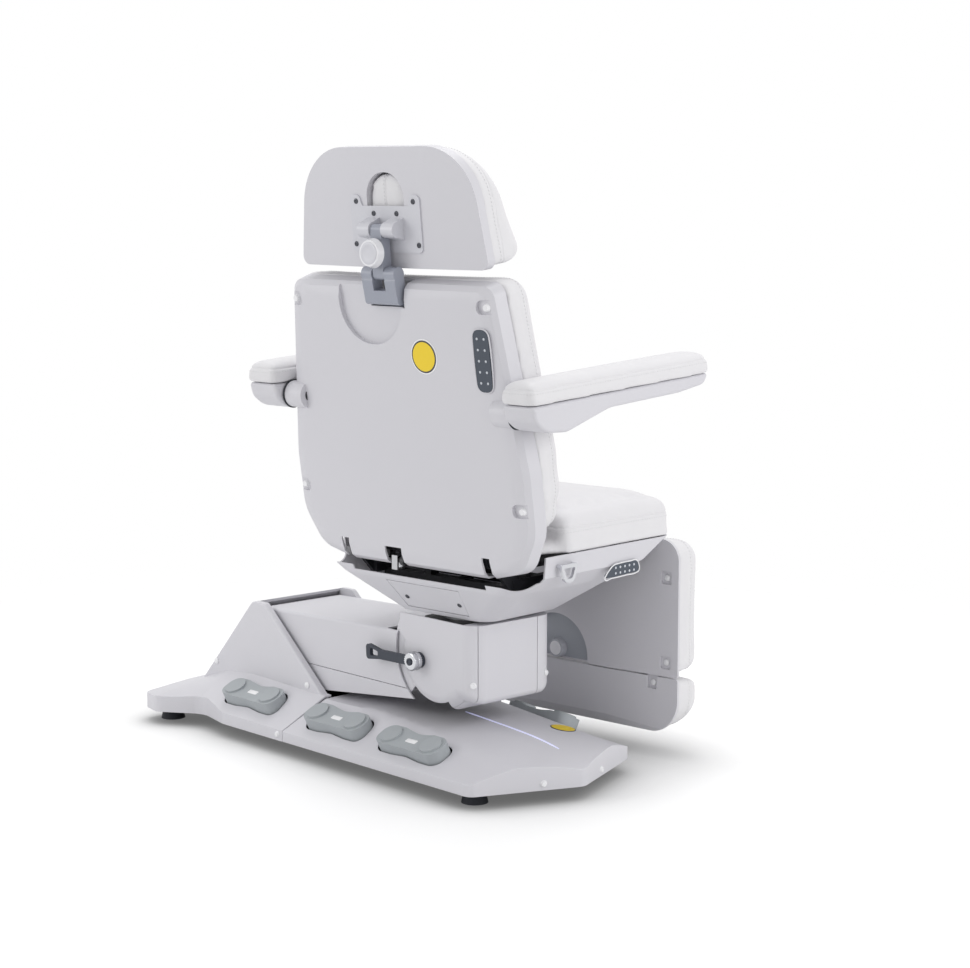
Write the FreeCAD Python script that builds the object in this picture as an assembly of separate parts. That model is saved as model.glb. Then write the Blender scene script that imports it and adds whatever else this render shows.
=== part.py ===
"""Electric treatment chair on a low base: lift arm, swivel seat, backrest, armrests, headrest, leg rest.

Millimetres. The seat faces -Y, the sitter's right is -X, +Z is up and the floor is Z = 0. The seat stands
swivelled on its base, so the base group is modelled along its own axis and then turned about the swivel axis.
"""
import FreeCAD, Part
import math
import os

V = FreeCAD.Vector

# Driving dimensions of the whole chair
SWIVEL_AXIS = V(-240.3, 65.0, 0)
BASE_TURN = -95.0
BACK_TILT = 8.5
WALL = 4.0
GAP = 1.5

# Base: a low moulded cover over a steel plate on four rubber feet
BASE_HALF = 232.0
BASE_FRONT = -333.0
BASE_CORNER = -236.0
SHOULDER = 138.0
BASE_SEAM = 340.0
BASE_SEAM_EDGE = 376.0
WAIST = (208.0, 705.0)
WING = (278.0, 800.0)
BASE_REAR = 870.0
SKIRT_BOTTOM = 30.0
SKIRT_TOP = 54.0
DECK_CROWN = 125.0
PLATE_BOTTOM = 34.0
PLATE_THICK = 8.0
FOOT_RADIUS = 28.0
FEET = ((-170.0, -186.0), (170.0, -186.0), (-207.0, 832.0), (207.0, 832.0))

# Lift: tower pivots, parallelogram, actuator
TOWER = (530.0, 225.0)
HEAD = (0.0, 268.0)
LINK_DROP = 70.0
ARM_HALF = 113.0
PLATE_IN = 70.0
PLATE_OUT = 80.0
CHEEK_IN = 121.0
CHEEK_OUT = 136.0
CHEEK_FOOT = 141.0
CHEEK_TOP = 300.0
RIM_REAR = 611.0
HEAD_RADIUS = 122.0
HEAD_HALF = 115.0
HEAD_FRONT = -123.0
HEAD_TOP = 344.0
HEAD_CHIN = 176.0
HEAD_BELLY = -78.0
HEAD_CORNER = 36.0
ACTUATOR_FOOT = (600.0, 112.0)
ACTUATOR_EYE = (120.0, 258.0)

# Pedals: rockers on the sloping deck
PEDAL_LENGTH = 190.0
PEDAL_WIDTH = 60.0
PEDAL_THICK = 34.0
PEDAL_X = 186.0
PEDAL_TILT = 26.0
PEDALS = {"front": (-14.0, 86.0), "middle": (234.0, 91.0), "rear": (536.0, 96.0)}

# Lift arm casing, head covers and the swivel lock
ARM_SEAM = 181.0
HEAD_SEAMS = (-98.0, 66.0)
LEVER_PIVOT = (46.0, 250.0)

# Seat
SEAT_HALF = 292.0
SEAT_FRONT = -304.0
SEAT_REAR = 104.0
SEAT_SEAM = 507.0
SEAT_TOP = 592.0
SHELL_BOTTOM = 352.0
FLANK_TOP = 455.0
BACK_HINGE = (150.0, 498.0)
LEG_HINGE = (-312.0, 486.0)
CRANK = 34.0
RECLINE = 75.0
LEG_RAISE = 88.0
RECLINE_X = 60.0
LEG_X = -60.0

# Backrest: flat rear, rim towards the pad, top edge and armrest axle before it is leaned back
BACK_REAR = 186.0
BACK_RIM = 141.0
BACK_TOP = 1066.0
BACK_RECESS = 8.0
BACK_SCREWS = ((1022.0, 268.0), (618.0, 310.0))
AXLE = (175.5, 814.0)
AXLE_RADIUS = 14.0
SCOOP_X = 47.0

# Armrests
ARM_X = 363.0
ARM_HALF_WIDTH = 44.0
ARM_REAR = 282.0
ARM_TIP = -286.0

# Headrest: pivots in place, the rest before it is leaned back about its own pivot
STEM_PIVOT = (272.0, 1070.0)
HEAD_PIVOT = (279.0, 1158.0)
HEAD_KNOB_Z = 1112.0
STEM_HALF = 46.0
KNUCKLE_HALF = 50.0
HEADREST_LEAN = 6.0
HEADREST_REAR = 257.0
HEADREST_RIM = 230.0
HEADREST_FRONT = 137.0
HEADREST_WEDGE = 0.25
HEADREST_FOOT = (263.0, 1079.0)
HEADREST_CROWN = (226.0, 1320.0)
CREASE = 114.0

# Leg rest and foot section
LEG_HALF = 284.0
LEG_REAR = -326.0
LEG_TOP = 488.0
LEG_BOTTOM = 186.0
FOOT_BOTTOM = 58.0
FOOT_BEVEL = (16.0, 22.0)
LEG_TRAY = 18.0
LEG_RIM = LEG_REAR - LEG_TRAY
LEG_PAD_FRONT = -440.0
LOCK_X = 52.0
LOCK_Z = 209.0
LOCK_RECESS = 92.0
RAIL_X = 190.0
RAIL_HALF = 12.0
RAIL_FRONT = LEG_RIM - 10.0
RAIL_REAR = LEG_RIM - 1.0


def plan(z):
    """Points (u, v) as x, y at height z."""
    return lambda u, v: V(u, v, z)


def side(x):
    """Points (u, v) as y, z in the upright plane at x."""
    return lambda u, v: V(x, u, v)


def front(y):
    """Points (u, v) as x, z in the upright plane at y."""
    return lambda u, v: V(u, y, v)


def outline(points, place, pull=0.0):
    """Closed wire through (u, v, corner radius) points; pull draws each side in between its corners."""
    corners = []
    count = len(points)
    for i, point in enumerate(points):
        here = V(point[0], point[1], 0)
        radius = point[2] if len(point) > 2 else 0.0
        back = V(*points[i - 1][:2], 0) - here
        ahead = V(*points[(i + 1) % count][:2], 0) - here
        back.normalize()
        ahead.normalize()
        half = back.getAngle(ahead) / 2
        if radius > 0 and half < math.pi / 2 - 0.01:
            run = radius / math.tan(half)
            middle = back + ahead
            middle.normalize()
            corners.append((here + back * run, here + middle * (radius / math.sin(half) - radius),
                            here + ahead * run))
        else:
            corners.append((here, here, here))
    centre = V(sum(p[0] for p in points) / count, sum(p[1] for p in points) / count, 0)
    edges = []
    for i in range(count):
        start, middle, end = corners[i]
        if (end - start).Length > 0.01:
            edges.append(Part.Arc(*(place(p.x, p.y) for p in (start, middle, end))).toShape())
        after = corners[(i + 1) % count][0]
        if (after - end).Length > 0.01:
            halfway = (end + after) * 0.5
            inward = centre - halfway
            along = after - end
            along.normalize()
            inward = inward - along * inward.dot(along)
            if pull and inward.Length > 1:
                inward.normalize()
                bowed = halfway + inward * pull
                edges.append(Part.Arc(*(place(p.x, p.y) for p in (end, bowed, after))).toShape())
            else:
                edges.append(Part.LineSegment(place(end.x, end.y), place(after.x, after.y)).toShape())
    return Part.Wire(Part.__sortEdges__(edges))


def prism(points, place, direction):
    """Solid from an outline pushed along a direction."""
    return Part.Face(outline(points, place)).extrude(direction)


def block(x0, x1, y0, y1, z0, z1):
    """Square block between two corners."""
    return Part.makeBox(x1 - x0, y1 - y0, z1 - z0, V(x0, y0, z0))


def bar(start, end, radius):
    """Round bar from start to end."""
    run = end - start
    return Part.makeCylinder(radius, run.Length, start, run)


def across(y, z, x0, x1, radius):
    """Round bar along X."""
    return bar(V(x0, y, z), V(x1, y, z), radius)


def mirrored(shape):
    """Copy on the other side of the centre plane."""
    return shape.mirror(V(0, 0, 0), V(1, 0, 0))


def both(shape):
    """The shape and its mirror image, as separate solids."""
    return Part.makeCompound([shape, mirrored(shape)])


def rounded_edges(shape, radius, chosen):
    """Fillet the edges that chosen(edge) picks."""
    return shape.makeFillet(radius, [edge for edge in shape.Edges if chosen(edge)])


def upright(edge):
    """True for a straight vertical edge."""
    box = edge.BoundBox
    return box.XLength < 0.01 and box.YLength < 0.01 and box.ZLength > 1


def deck(lower, stations, faceted):
    """Slab over the base: flat-topped between two shoulders, with sides that slope to the skirt.

    Each station is y, half width, skirt height, shoulder height and crown height. A faceted slab is straight between
    its stations.
    """
    wires = []
    for y, half, edge, shoulder, crown in stations:
        spot = front(y)
        arch = Part.Arc(spot(SHOULDER, shoulder), spot(0, crown), spot(-SHOULDER, shoulder)).toShape()
        corners = [spot(-SHOULDER, shoulder), spot(-half, edge), spot(-half, lower), spot(half, lower),
                   spot(half, edge),
                   spot(SHOULDER, shoulder)]
        sides = [Part.LineSegment(start, end).toShape() for start, end in zip(corners, corners[1:])]
        wires.append(Part.Wire([arch] + sides))
    return Part.makeLoft(wires, True, faceted)


def base_plan(inset, rear):
    """Plan outline of the front or rear cover, drawn in by inset and open across the seam between them."""
    half = BASE_HALF - inset
    lap = 3.0 if inset else 0.0
    if rear:
        right = [(-SHOULDER, BASE_SEAM + GAP - lap), (-half, BASE_SEAM_EDGE + GAP - lap), (-half, 600, 40),
                 (-WAIST[0] + inset, WAIST[1], 60), (-WING[0] + inset, WING[1], 30),
                 (-WING[0] + 16 + inset, BASE_REAR - inset, 30)]
    else:
        right = [(0, BASE_FRONT + inset, 30), (-half, BASE_CORNER + inset, 25),
                 (-half, BASE_SEAM_EDGE + lap),
                 (-SHOULDER, BASE_SEAM + lap)]
    left = [(-p[0],) + tuple(p[1:]) for p in reversed(right) if p[0] != 0]
    return right + left


def skin_of(rear, stations):
    """Thin moulded cover: the plan pushed up to the deck and hollowed from below."""
    outer = prism(base_plan(0, rear), plan(SKIRT_BOTTOM), V(0, 0, 150)).common(deck(0, stations, rear))
    below = deck(-20, stations, rear)
    below.translate(V(0, 0, -WALL))
    hollow = prism(base_plan(WALL, rear), plan(0), V(0, 0, 180)).common(below)
    return outer, hollow


def base_front_cover():
    """Moulded front cover: domed V front, creased shoulders, open wells for four of the pedals."""
    stations = [(BASE_FRONT - 2, BASE_HALF, SKIRT_TOP - 4, 60, 64), (-262, BASE_HALF, SKIRT_TOP, 84, 93),
                (-120, BASE_HALF, SKIRT_TOP, 100, 112), (20, BASE_HALF, SKIRT_TOP, 112, 121),
                (180, BASE_HALF, SKIRT_TOP, 120, DECK_CROWN - 1),
                (BASE_SEAM_EDGE + 10, BASE_HALF, SKIRT_TOP, 124, DECK_CROWN)]
    outer, hollow = skin_of(False, stations)
    shell = outer.cut(hollow)
    for name in ("front", "middle"):
        shell = shell.cut(both(pedal_well(name)))
    return shell


def housing(inset):
    """Solid form of the lift housing: two thin cheeks that lean in and a long slope down to the rear."""
    low = CHEEK_FOOT - inset
    top = CHEEK_OUT - inset
    profile = [(BASE_SEAM - 40 + inset, SKIRT_BOTTOM), (BASE_SEAM + 16 + inset, DECK_CROWN),
               (566 + inset, CHEEK_TOP - inset, 14),
               (612 - inset, CHEEK_TOP - inset, 26), (816 - inset, 78), (816 - inset, SKIRT_BOTTOM)]
    body = prism(profile, side(-low), V(2 * low, 0, 0))
    taper = prism([(-low, SKIRT_BOTTOM), (low, SKIRT_BOTTOM), (top, CHEEK_TOP), (-top, CHEEK_TOP)],
                  front(0), V(0, 1000, 0))
    return body.common(taper)


def base_rear_cover():
    """Moulded rear cover: waisted wings and a housing whose cheeks stand either side of the lift arm."""
    stations = [(BASE_SEAM - 10, BASE_HALF, SKIRT_TOP, 124, DECK_CROWN),
                (600, BASE_HALF, SKIRT_TOP + 2, 132, DECK_CROWN),
                (WAIST[1], BASE_HALF, SKIRT_TOP + 4, 124, 116), (WING[1], WING[0] + 8, 66, 92, 96),
                (BASE_REAR + 4, WING[0] + 8, 60, 74, 78)]
    outer, hollow = skin_of(True, stations)
    shaped = housing(0).common(block(-400, 400, BASE_SEAM + GAP, 1000, 0, 400))
    shaped = rounded_edges(shaped, 5,
                           lambda edge: edge.BoundBox.ZMax > CHEEK_TOP - 40 and edge.BoundBox.XLength < 20
                           and edge.Length > 40)
    shell = outer.fuse(shaped).cut(hollow).cut(housing(WALL))
    cheek_wall = block(-CHEEK_IN - WALL, CHEEK_IN + WALL, BASE_SEAM + GAP, RIM_REAR, SKIRT_BOTTOM + 22,
                       400).common(shaped)
    well = block(-CHEEK_IN, CHEEK_IN, 200, RIM_REAR, 0, 400)
    shell = shell.fuse(cheek_wall).cut(well)
    return shell.cut(both(pedal_well("rear"))).removeSplitter()


def pedal_place(name):
    """Placement of a right-hand pedal: centre on the deck, tilted outward."""
    y, z = PEDALS[name]
    return FreeCAD.Placement(V(-PEDAL_X, y, z), FreeCAD.Rotation(V(0, 1, 0), -PEDAL_TILT))


def pedal_outline(grow):
    """Waisted bar with round ends."""
    half = PEDAL_LENGTH / 2 + grow
    wide = PEDAL_WIDTH / 2 + grow
    waist = wide - 5
    right = [(-wide, -half, 24), (wide, -half, 24), (wide, -half * 0.45, 40), (waist, 0, 60),
             (wide, half * 0.45, 40)]
    return right + [(wide, half, 24), (-wide, half, 24), (-wide, half * 0.45, 40), (-waist, 0, 60),
                    (-wide, -half * 0.45, 40)]


def pedal_well(name):
    """Opening in the deck for a right-hand pedal."""
    hole = prism(pedal_outline(3.0), plan(-PEDAL_THICK), V(0, 0, 3 * PEDAL_THICK))
    hole.Placement = pedal_place(name)
    return hole


def pedal(name):
    """Right-hand rocker pedal: a waisted bar with a dished middle and a raised round pad at each end."""
    body = prism(pedal_outline(0), plan(-PEDAL_THICK / 2), V(0, 0, PEDAL_THICK))
    dish = Part.makeCylinder(240, PEDAL_WIDTH + 20, V(-PEDAL_WIDTH / 2 - 10, 0, PEDAL_THICK / 2 + 236),
                             V(1, 0, 0))
    body = body.cut(dish)
    for end in (-1, 1):
        pad = Part.makeCylinder(PEDAL_WIDTH / 2 - 5, 12, V(0, end * (PEDAL_LENGTH / 2 - 32),
                                                           PEDAL_THICK / 2 - 8))
        body = body.fuse(pad)
    pivot = across(0, -PEDAL_THICK / 2 + 2, -PEDAL_WIDTH / 2 + 6, PEDAL_WIDTH / 2 - 6, 7)
    body = body.fuse(pivot)
    body.Placement = pedal_place(name)
    return body


def base_frame():
    """Steel floor plate with edge channels and the two tower plates that carry the lift pivots."""
    lower = prism(base_plan(14, False), plan(PLATE_BOTTOM), V(0, 0, PLATE_THICK))
    rear = prism(base_plan(14, True), plan(PLATE_BOTTOM), V(0, 0, PLATE_THICK))
    frame = lower.fuse(rear)
    y, z = TOWER
    rise = [(y - 120, PLATE_BOTTOM), (y + 130, PLATE_BOTTOM), (y + 96, 130, 30), (y + 34, z + 30, 30),
            (y - 34, z + 30, 30)]
    for x in (-PLATE_OUT, PLATE_IN):
        tower = prism(rise, side(x), V(PLATE_OUT - PLATE_IN, 0, 0))
        frame = frame.fuse(tower)
    foot_y, foot_z = ACTUATOR_FOOT
    for hole_y, hole_z, radius in ((y, z, 12), (y, z - LINK_DROP, 9), (foot_y, foot_z, 9)):
        frame = frame.cut(across(hole_y, hole_z, -200, 200, radius))
    for x in (-140, 110):
        rail = block(x, x + 30, -170, BASE_SEAM - 10, PLATE_BOTTOM + PLATE_THICK,
                     PLATE_BOTTOM + PLATE_THICK + 20)
        frame = frame.fuse(rail)
    return frame.removeSplitter()


def tower_pins():
    """Stub pins pressed in the tower plates: arm pivot, link pivot and the actuator's cross pin."""
    y, z = TOWER
    foot_y, foot_z = ACTUATOR_FOOT
    stubs = [across(y, z, 55, PLATE_OUT + 4, 12), across(y, z - LINK_DROP, 39, PLATE_OUT + 4, 9)]
    pins = [across(foot_y, foot_z, -PLATE_OUT - 4, PLATE_OUT + 4, 9)]
    for stub in stubs:
        pins += [stub, mirrored(stub)]
    return Part.makeCompound(pins)


def levelling_feet():
    """Rubber discs on threaded studs through the floor plate."""
    feet = []
    for x, y in FEET:
        disc = Part.makeCone(FOOT_RADIUS, FOOT_RADIUS - 4, 18, V(x, y, 0))
        stud = Part.makeCylinder(7, PLATE_BOTTOM - 18, V(x, y, 18))
        feet.append(disc.fuse(stud))
    return Part.makeCompound(feet)


def control_box():
    """Power supply and motor control in a ribbed case behind the tower."""
    low = PLATE_BOTTOM + PLATE_THICK
    case = block(-60, 60, 664, 754, low, low + 30)
    for step in range(6):
        case = case.fuse(block(-56 + 20 * step, -50 + 20 * step, 668, 750, low + 30, low + 36))
    return case


def base_caps():
    """Domed caps over the cover screws along the base."""
    slant = (BASE_CORNER - BASE_FRONT) / BASE_HALF
    on_front = Part.makeCone(7.5, 5, 4, V(-83, BASE_FRONT + 83 * slant, 44), V(-slant, -1, 0))
    on_side = Part.makeCone(7.5, 5, 4, V(-BASE_HALF, BASE_SEAM_EDGE + 18, 44), V(-1, 0, 0))
    return Part.makeCompound([on_front, mirrored(on_front), on_side, mirrored(on_side)])


def arm_line(share, drop=0.0):
    """Point on the line from the tower pivot to the head pivot, as y, z."""
    y = TOWER[0] + (HEAD[0] - TOWER[0]) * share
    z = TOWER[1] + (HEAD[1] - TOWER[1]) * share
    return y, z - drop


def strap(start, end, radius, x0, x1):
    """Flat bar with round ends between two pivots, from x0 to x1."""
    run = V(0, end[0] - start[0], end[1] - start[1])
    run.normalize()
    up = V(0, -run.z, run.y)
    one = V(x0, *start)
    two = V(x0, *end)
    corners = [one + up * radius, two + up * radius, two - up * radius, one - up * radius,
               one + up * radius]
    web = Part.Face(Part.makePolygon(corners)).extrude(V(x1 - x0, 0, 0))
    ends = [across(point[0], point[1], x0, x1, radius) for point in (start, end)]
    return web.fuse(ends).removeSplitter()


def arm_frame():
    """Welded lift arm: two side plates with bored round ends, a cross tube and the actuator pin."""
    cheek = strap(TOWER, HEAD, 27, 56, 66)
    cheek = cheek.cut(across(*TOWER, 50, 80, 12.4)).cut(across(*HEAD, 50, 80, 12.4))
    y, z = arm_line(0.42)
    tie = across(y, z + 14, -66, 66, 10)
    eye_y, eye_z = ACTUATOR_EYE
    pin = across(eye_y, eye_z, -66, 66, 7)
    return cheek.fuse([mirrored(cheek), tie, pin]).removeSplitter()


def parallel_links():
    """Pair of flat links under the arm that keep the head level."""
    low_tower = arm_line(0, LINK_DROP)
    low_head = arm_line(1, LINK_DROP)
    link = strap(low_tower, low_head, 17, 40, 50)
    link = link.cut(across(*low_tower, 30, 60, 9.4)).cut(across(*low_head, 30, 60, 9.4))
    return both(link)


def arm_profile(inset):
    """Side outline of the lift arm's casing."""
    return [(60, 162 + inset), (390, 127 + inset, 20), (470, 124 + inset, 20), (500 - inset, 180),
            (606 - inset, 180, 20),
            (604 - inset, 286 - inset, 14), (150, 302 - inset), (60, 302 - inset)]


def arm_casing():
    """Hollow casing of the lift arm, cut round at the head so it can turn past the head covers."""
    half = ARM_HALF
    outer = prism(arm_profile(0), side(-half), V(2 * half, 0, 0))
    outer = rounded_edges(outer, 8, lambda edge: edge.BoundBox.XLength < 0.01 and edge.BoundBox.ZMin > 280)
    inner = prism(arm_profile(WALL), side(-half + WALL), V(2 * half - 2 * WALL, 0, 0))
    clearance = across(*HEAD, -200, 200, HEAD_RADIUS + 5)
    mouth = block(-half + WALL, half - WALL, 40, 160, 100, 400)
    rear_mouth = block(-half + WALL, half - WALL, 440, 700, 100, 270)
    return outer.cut(inner).cut(clearance).cut(mouth).cut(rear_mouth)


def arm_upper_cover():
    """Upper half of the arm casing: top and sides down to the seam."""
    return arm_casing().common(block(-200, 200, 0, 700, ARM_SEAM, 400))


def arm_lower_cover():
    """Lower half of the arm casing: belly pan with upturned sides."""
    return arm_casing().common(block(-200, 200, 0, 492, 0, ARM_SEAM - GAP))


def lift_actuator_tube():
    """Lift actuator: gear housing, motor and tube, hinged on the base."""
    foot = V(0, *ACTUATOR_FOOT)
    eye = V(0, *ACTUATOR_EYE)
    way = (eye - foot).normalize()
    shell = bar(foot + way * 24, foot + way * 110, 26)
    tube = bar(foot + way * 100, foot + way * 330, 18)
    lug = across(*ACTUATOR_FOOT, -14, 14, 22)
    lug = lug.fuse(bar(foot, foot + way * 40, 14))
    body = shell.fuse([tube, lug])
    bore = bar(foot + way * 120, foot + way * 340, 12.5)
    return body.cut(bore).cut(across(*ACTUATOR_FOOT, -40, 40, 9.4)).removeSplitter()


def lift_actuator_rod():
    """Lift actuator rod with its eye round the arm's pin; the eye is bored large for the open pivot."""
    foot = V(0, *ACTUATOR_FOOT)
    eye = V(0, *ACTUATOR_EYE)
    way = (eye - foot).normalize()
    rod = bar(foot + way * 180, eye - way * 12, 12)
    head = across(*ACTUATOR_EYE, -12, 12, 22)
    return rod.fuse(head).cut(across(*ACTUATOR_EYE, -40, 40, 14)).removeSplitter()


def head_form(inset):
    """Head block: round cheeks about the pivot with a squared front, rounded at its upright corners."""
    half = HEAD_HALF - inset
    wheel = across(*HEAD, -half, half, HEAD_RADIUS - inset)
    wheel = wheel.makeFillet(HEAD_CORNER - inset,
                             [edge for edge in wheel.Edges if edge.BoundBox.XLength < 0.01])
    profile = [(HEAD_FRONT + inset, HEAD_TOP + 40), (HEAD_FRONT + inset, HEAD_CHIN + inset, 14),
               (HEAD_BELLY, HEAD_CHIN - 2 + inset), (HEAD_BELLY + 28, 240),
               (20, 240), (112 - inset, 300), (112 - inset, HEAD_TOP + 40)]
    square = prism(profile, side(-half), V(2 * half, 0, 0))
    square = rounded_edges(square, HEAD_CORNER - inset,
                           lambda edge: upright(edge) and edge.BoundBox.YMin < HEAD_FRONT + 8)
    return wheel.fuse(square).common(block(-200, 200, -200, 200, 0, HEAD_TOP - inset))


def head_shell():
    """Hollow of the head block, open at the top under the turntable and at the rear for the arm."""
    inner = head_form(WALL)
    roof = block(-HEAD_HALF + WALL, HEAD_HALF - WALL, HEAD_FRONT + HEAD_CORNER + 1, 200, 300, 400)
    mouth = block(-HEAD_HALF + WALL, HEAD_HALF - WALL, 20, 200, 60, 400)
    belly = block(-HEAD_HALF + WALL, HEAD_HALF - WALL, -40, 200, 60, 240)
    return head_form(0).cut(inner).cut(roof).cut(mouth).cut(belly)


def head_cover(x0, x1):
    """Slice of the head shell between two seams."""
    return head_shell().common(block(x0, x1, -200, 200, 0, 400))


def head_frame():
    """Steel head: two bored plates with welded pins under the bearing plate."""
    low_y, low_z = arm_line(1, LINK_DROP)
    plate = prism([(-46, 330), (-46, 190, 20), (-24, 168, 14), (24, 168, 14), (46, 190, 20), (46, 330)],
                  side(PLATE_IN),
                  V(PLATE_OUT - PLATE_IN, 0, 0))
    pins = [across(*HEAD, 55, PLATE_OUT + 4, 12), across(low_y, low_z, 39, PLATE_OUT + 4, 9)]
    cheek = plate.fuse(pins)
    table = prism([(-92, -100, 20), (92, -100, 20), (92, 70, 20), (-92, 70, 20)], plan(328), V(0, 0, 10))
    return table.fuse([cheek, mirrored(cheek)]).removeSplitter()


def swivel_bearing():
    """Slewing ring bolted on the head, under the seat's turntable."""
    return Part.makeCylinder(70, 9, V(0, 0, 338)).cut(Part.makeCylinder(44, 9, V(0, 0, 338)))


def head_caps():
    """Screw caps on the head covers."""
    caps = []
    for hand, turn in ((-1, 48), (1, 26)):
        out = V(hand * math.sin(math.radians(turn)), -math.cos(math.radians(turn)), 0)
        corner = V(hand * (HEAD_HALF - HEAD_CORNER), HEAD_FRONT + HEAD_CORNER, 218)
        caps.append(Part.makeCone(7.5, 5, 4, corner + out * HEAD_CORNER, out))
    return Part.makeCompound(caps)


def swivel_lever():
    """Swivel lock lever: a slotted paddle on a round hub beside the head."""
    y, z = LEVER_PIVOT
    hub = across(y, z, -HEAD_HALF - 26, -HEAD_HALF - 1, 17)
    blade = prism([(y, z - 10), (y + 105, z - 12, 20), (y + 150, z - 18, 8), (y + 152, z + 18, 8),
                   (y + 105, z + 8, 20), (y, z + 10)],
                  side(-HEAD_HALF - 24), V(9, 0, 0))
    slot = prism([(y + 112, z - 8, 4), (y + 138, z - 8, 4), (y + 138, z + 9, 4), (y + 112, z + 4, 4)],
                 side(-HEAD_HALF - 40), V(40, 0, 0))
    return hub.fuse(blade).cut(slot).removeSplitter()


def crank_pin(hinge, swing):
    """Rest place of a crank pin that swings evenly either side of straight down, as y, z."""
    lean = math.radians(swing / 2)
    return hinge[0] + CRANK * math.sin(lean), hinge[1] - CRANK * math.cos(lean)


def rod_height(hinge, swing):
    """Height of a push rod halfway between the crank pin's highest and lowest points."""
    return hinge[1] - CRANK * (1 + math.cos(math.radians(swing / 2))) / 2


def seat_frame():
    """Welded seat frame: turntable, pedestal, cross tubes, side rails and the hinge lugs at both ends."""
    turntable = Part.makeCylinder(92, 8, V(0, 0, 347.4))
    pedestal = block(-88, -78, -40, 40, 355, 362).fuse(block(-88, -78, -80, 80, 360, 405))
    cross = [block(-190, 190, y - 12, y + 12, 404, 430) for y in (-70, 70)]
    rail = block(-205, -185, -300, 110, 424, 452)
    back_y, back_z = BACK_HINGE
    back_lug = prism([(70, 426), (110, 426), (back_y + 16, back_z - 14, 8), (back_y + 16, back_z + 16, 14),
                      (back_y - 16, back_z + 16, 14), (88, 452)], side(-204), V(10, 0, 0))
    leg_y, leg_z = LEG_HINGE
    leg_lug = prism([(-270, 426), (leg_y - 12, leg_z - 13, 12), (leg_y - 12, leg_z + 12, 11),
                     (leg_y + 12, leg_z + 12, 11),
                     (-240, 450)], side(-204), V(10, 0, 0))
    pins = [across(back_y, back_z, -208, -178, 9), across(leg_y, leg_z, -208, -178, 7)]
    posts = [block(-203, -187, y - 8, y + 8, 450, 504) for y in (-230, 60)]
    one_side = rail.fuse([back_lug, leg_lug] + pins + posts + [pedestal])
    return turntable.fuse([one_side, mirrored(one_side)] + cross).removeSplitter()


def seat_bowl(inset, floor):
    """Solid form of the seat's lower shell: a narrow foot that flares up to the cushion's rim."""
    def ring(z, half, nose, tail, radius):
        return outline([(-half, nose, radius), (half, nose, radius), (half, tail, radius),
                        (-half, tail, radius)], plan(z))

    wide = SEAT_HALF - inset
    rings = [ring(floor, 128 - inset, -134 + inset, 104 - inset, 34),
             ring(430, 250 - inset, -190 + inset, 168 - inset, 44),
             ring(464, wide - 4, -236 + inset, 184 - inset, 40),
             ring(SEAT_SEAM, wide, SEAT_FRONT + 3 + inset, 188 - inset, 24)]
    return Part.makeLoft(rings, True, True)


def seat_shell():
    """Lower seat shell: faceted bowl, open at the turntable, the leg hinge and the backrest."""
    shell = seat_bowl(0, SHELL_BOTTOM).cut(seat_bowl(WALL, SHELL_BOTTOM + WALL))
    shell = shell.cut(Part.makeCylinder(98, 40, V(0, 0, 330)))
    shell = shell.cut(block(-400, 400, SEAT_REAR + 2, 400, FLANK_TOP, 600))
    swing = across(*BACK_HINGE, -400, 400, 56).common(block(-400, 400, SEAT_REAR + 2, 400, 400, 600))
    shell = shell.cut(swing).cut(block(-190, 190, SEAT_REAR + 2, 400, 438, 600))
    shell = shell.cut(block(-215, 215, -400, -170, 404, 600))
    window = prism([(-88, 362), (88, 362), (104, 424), (-104, 424)], front(60), V(0, 140, 0))
    return shell.cut(window)


def seat_rear_panel():
    """Screwed service panel that closes the rear of the seat shell."""
    skin = seat_bowl(0, SHELL_BOTTOM).cut(seat_bowl(WALL, SHELL_BOTTOM + WALL))
    return skin.common(prism([(-87, 363), (87, 363), (103, 423), (-103, 423)], front(60), V(0, 140, 0)))


def pillow(points, place, levels, pull):
    """Padded form: the outline lofted through (height, inset) levels, sides drawn in between the corners."""
    cx = sum(p[0] for p in points) / len(points)
    cy = sum(p[1] for p in points) / len(points)
    wide = max(abs(p[0] - cx) for p in points)
    tall = max(abs(p[1] - cy) for p in points)
    wires = []
    for height, inset in levels:
        share_u = 1 - inset / wide
        share_v = 1 - inset / tall
        ring = [(cx + (u - cx) * share_u, cy + (v - cy) * share_v, r * min(share_u, share_v)) for u, v,
                r in points]
        wires.append(outline(ring, place(height), pull))
    return Part.makeLoft(wires, True, False)


def seat_cushion():
    """Seat cushion: crowned pad with a low tail that runs under the backrest pad."""
    half = SEAT_HALF - 2
    pad = [(-half, SEAT_FRONT, 24), (half, SEAT_FRONT, 24), (half, 50, 26), (-half, 50, 26)]
    rise = SEAT_TOP - SEAT_SEAM
    levels = [(SEAT_SEAM + 0.4, 3), (SEAT_SEAM + rise * 0.35, 0), (SEAT_SEAM + rise * 0.78, 5),
              (SEAT_SEAM + rise * 0.94, 22),
              (SEAT_TOP, 80)]
    tail = [(-half + 2, 20, 10), (half - 2, 20, 10), (half - 40, SEAT_REAR, 30),
            (-half + 40, SEAT_REAR, 30)]
    low = pillow(tail, plan, [(SEAT_SEAM + 0.4, 2), (SEAT_SEAM + 8, 0), (SEAT_SEAM + 17, 8)], 1)
    return pillow(pad, plan, levels, 3).fuse(low)


def side_keypad():
    """Membrane keypad in a slanted bezel on the right of the seat shell."""
    pad = prism([(-74, 441, 4), (-190, 444, 8), (-184, 468, 6), (-108, 466, 10)], side(-SEAT_HALF - 1.5),
                V(6, 0, 0))
    return pad.cut(seat_bowl(0, SHELL_BOTTOM))


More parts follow.
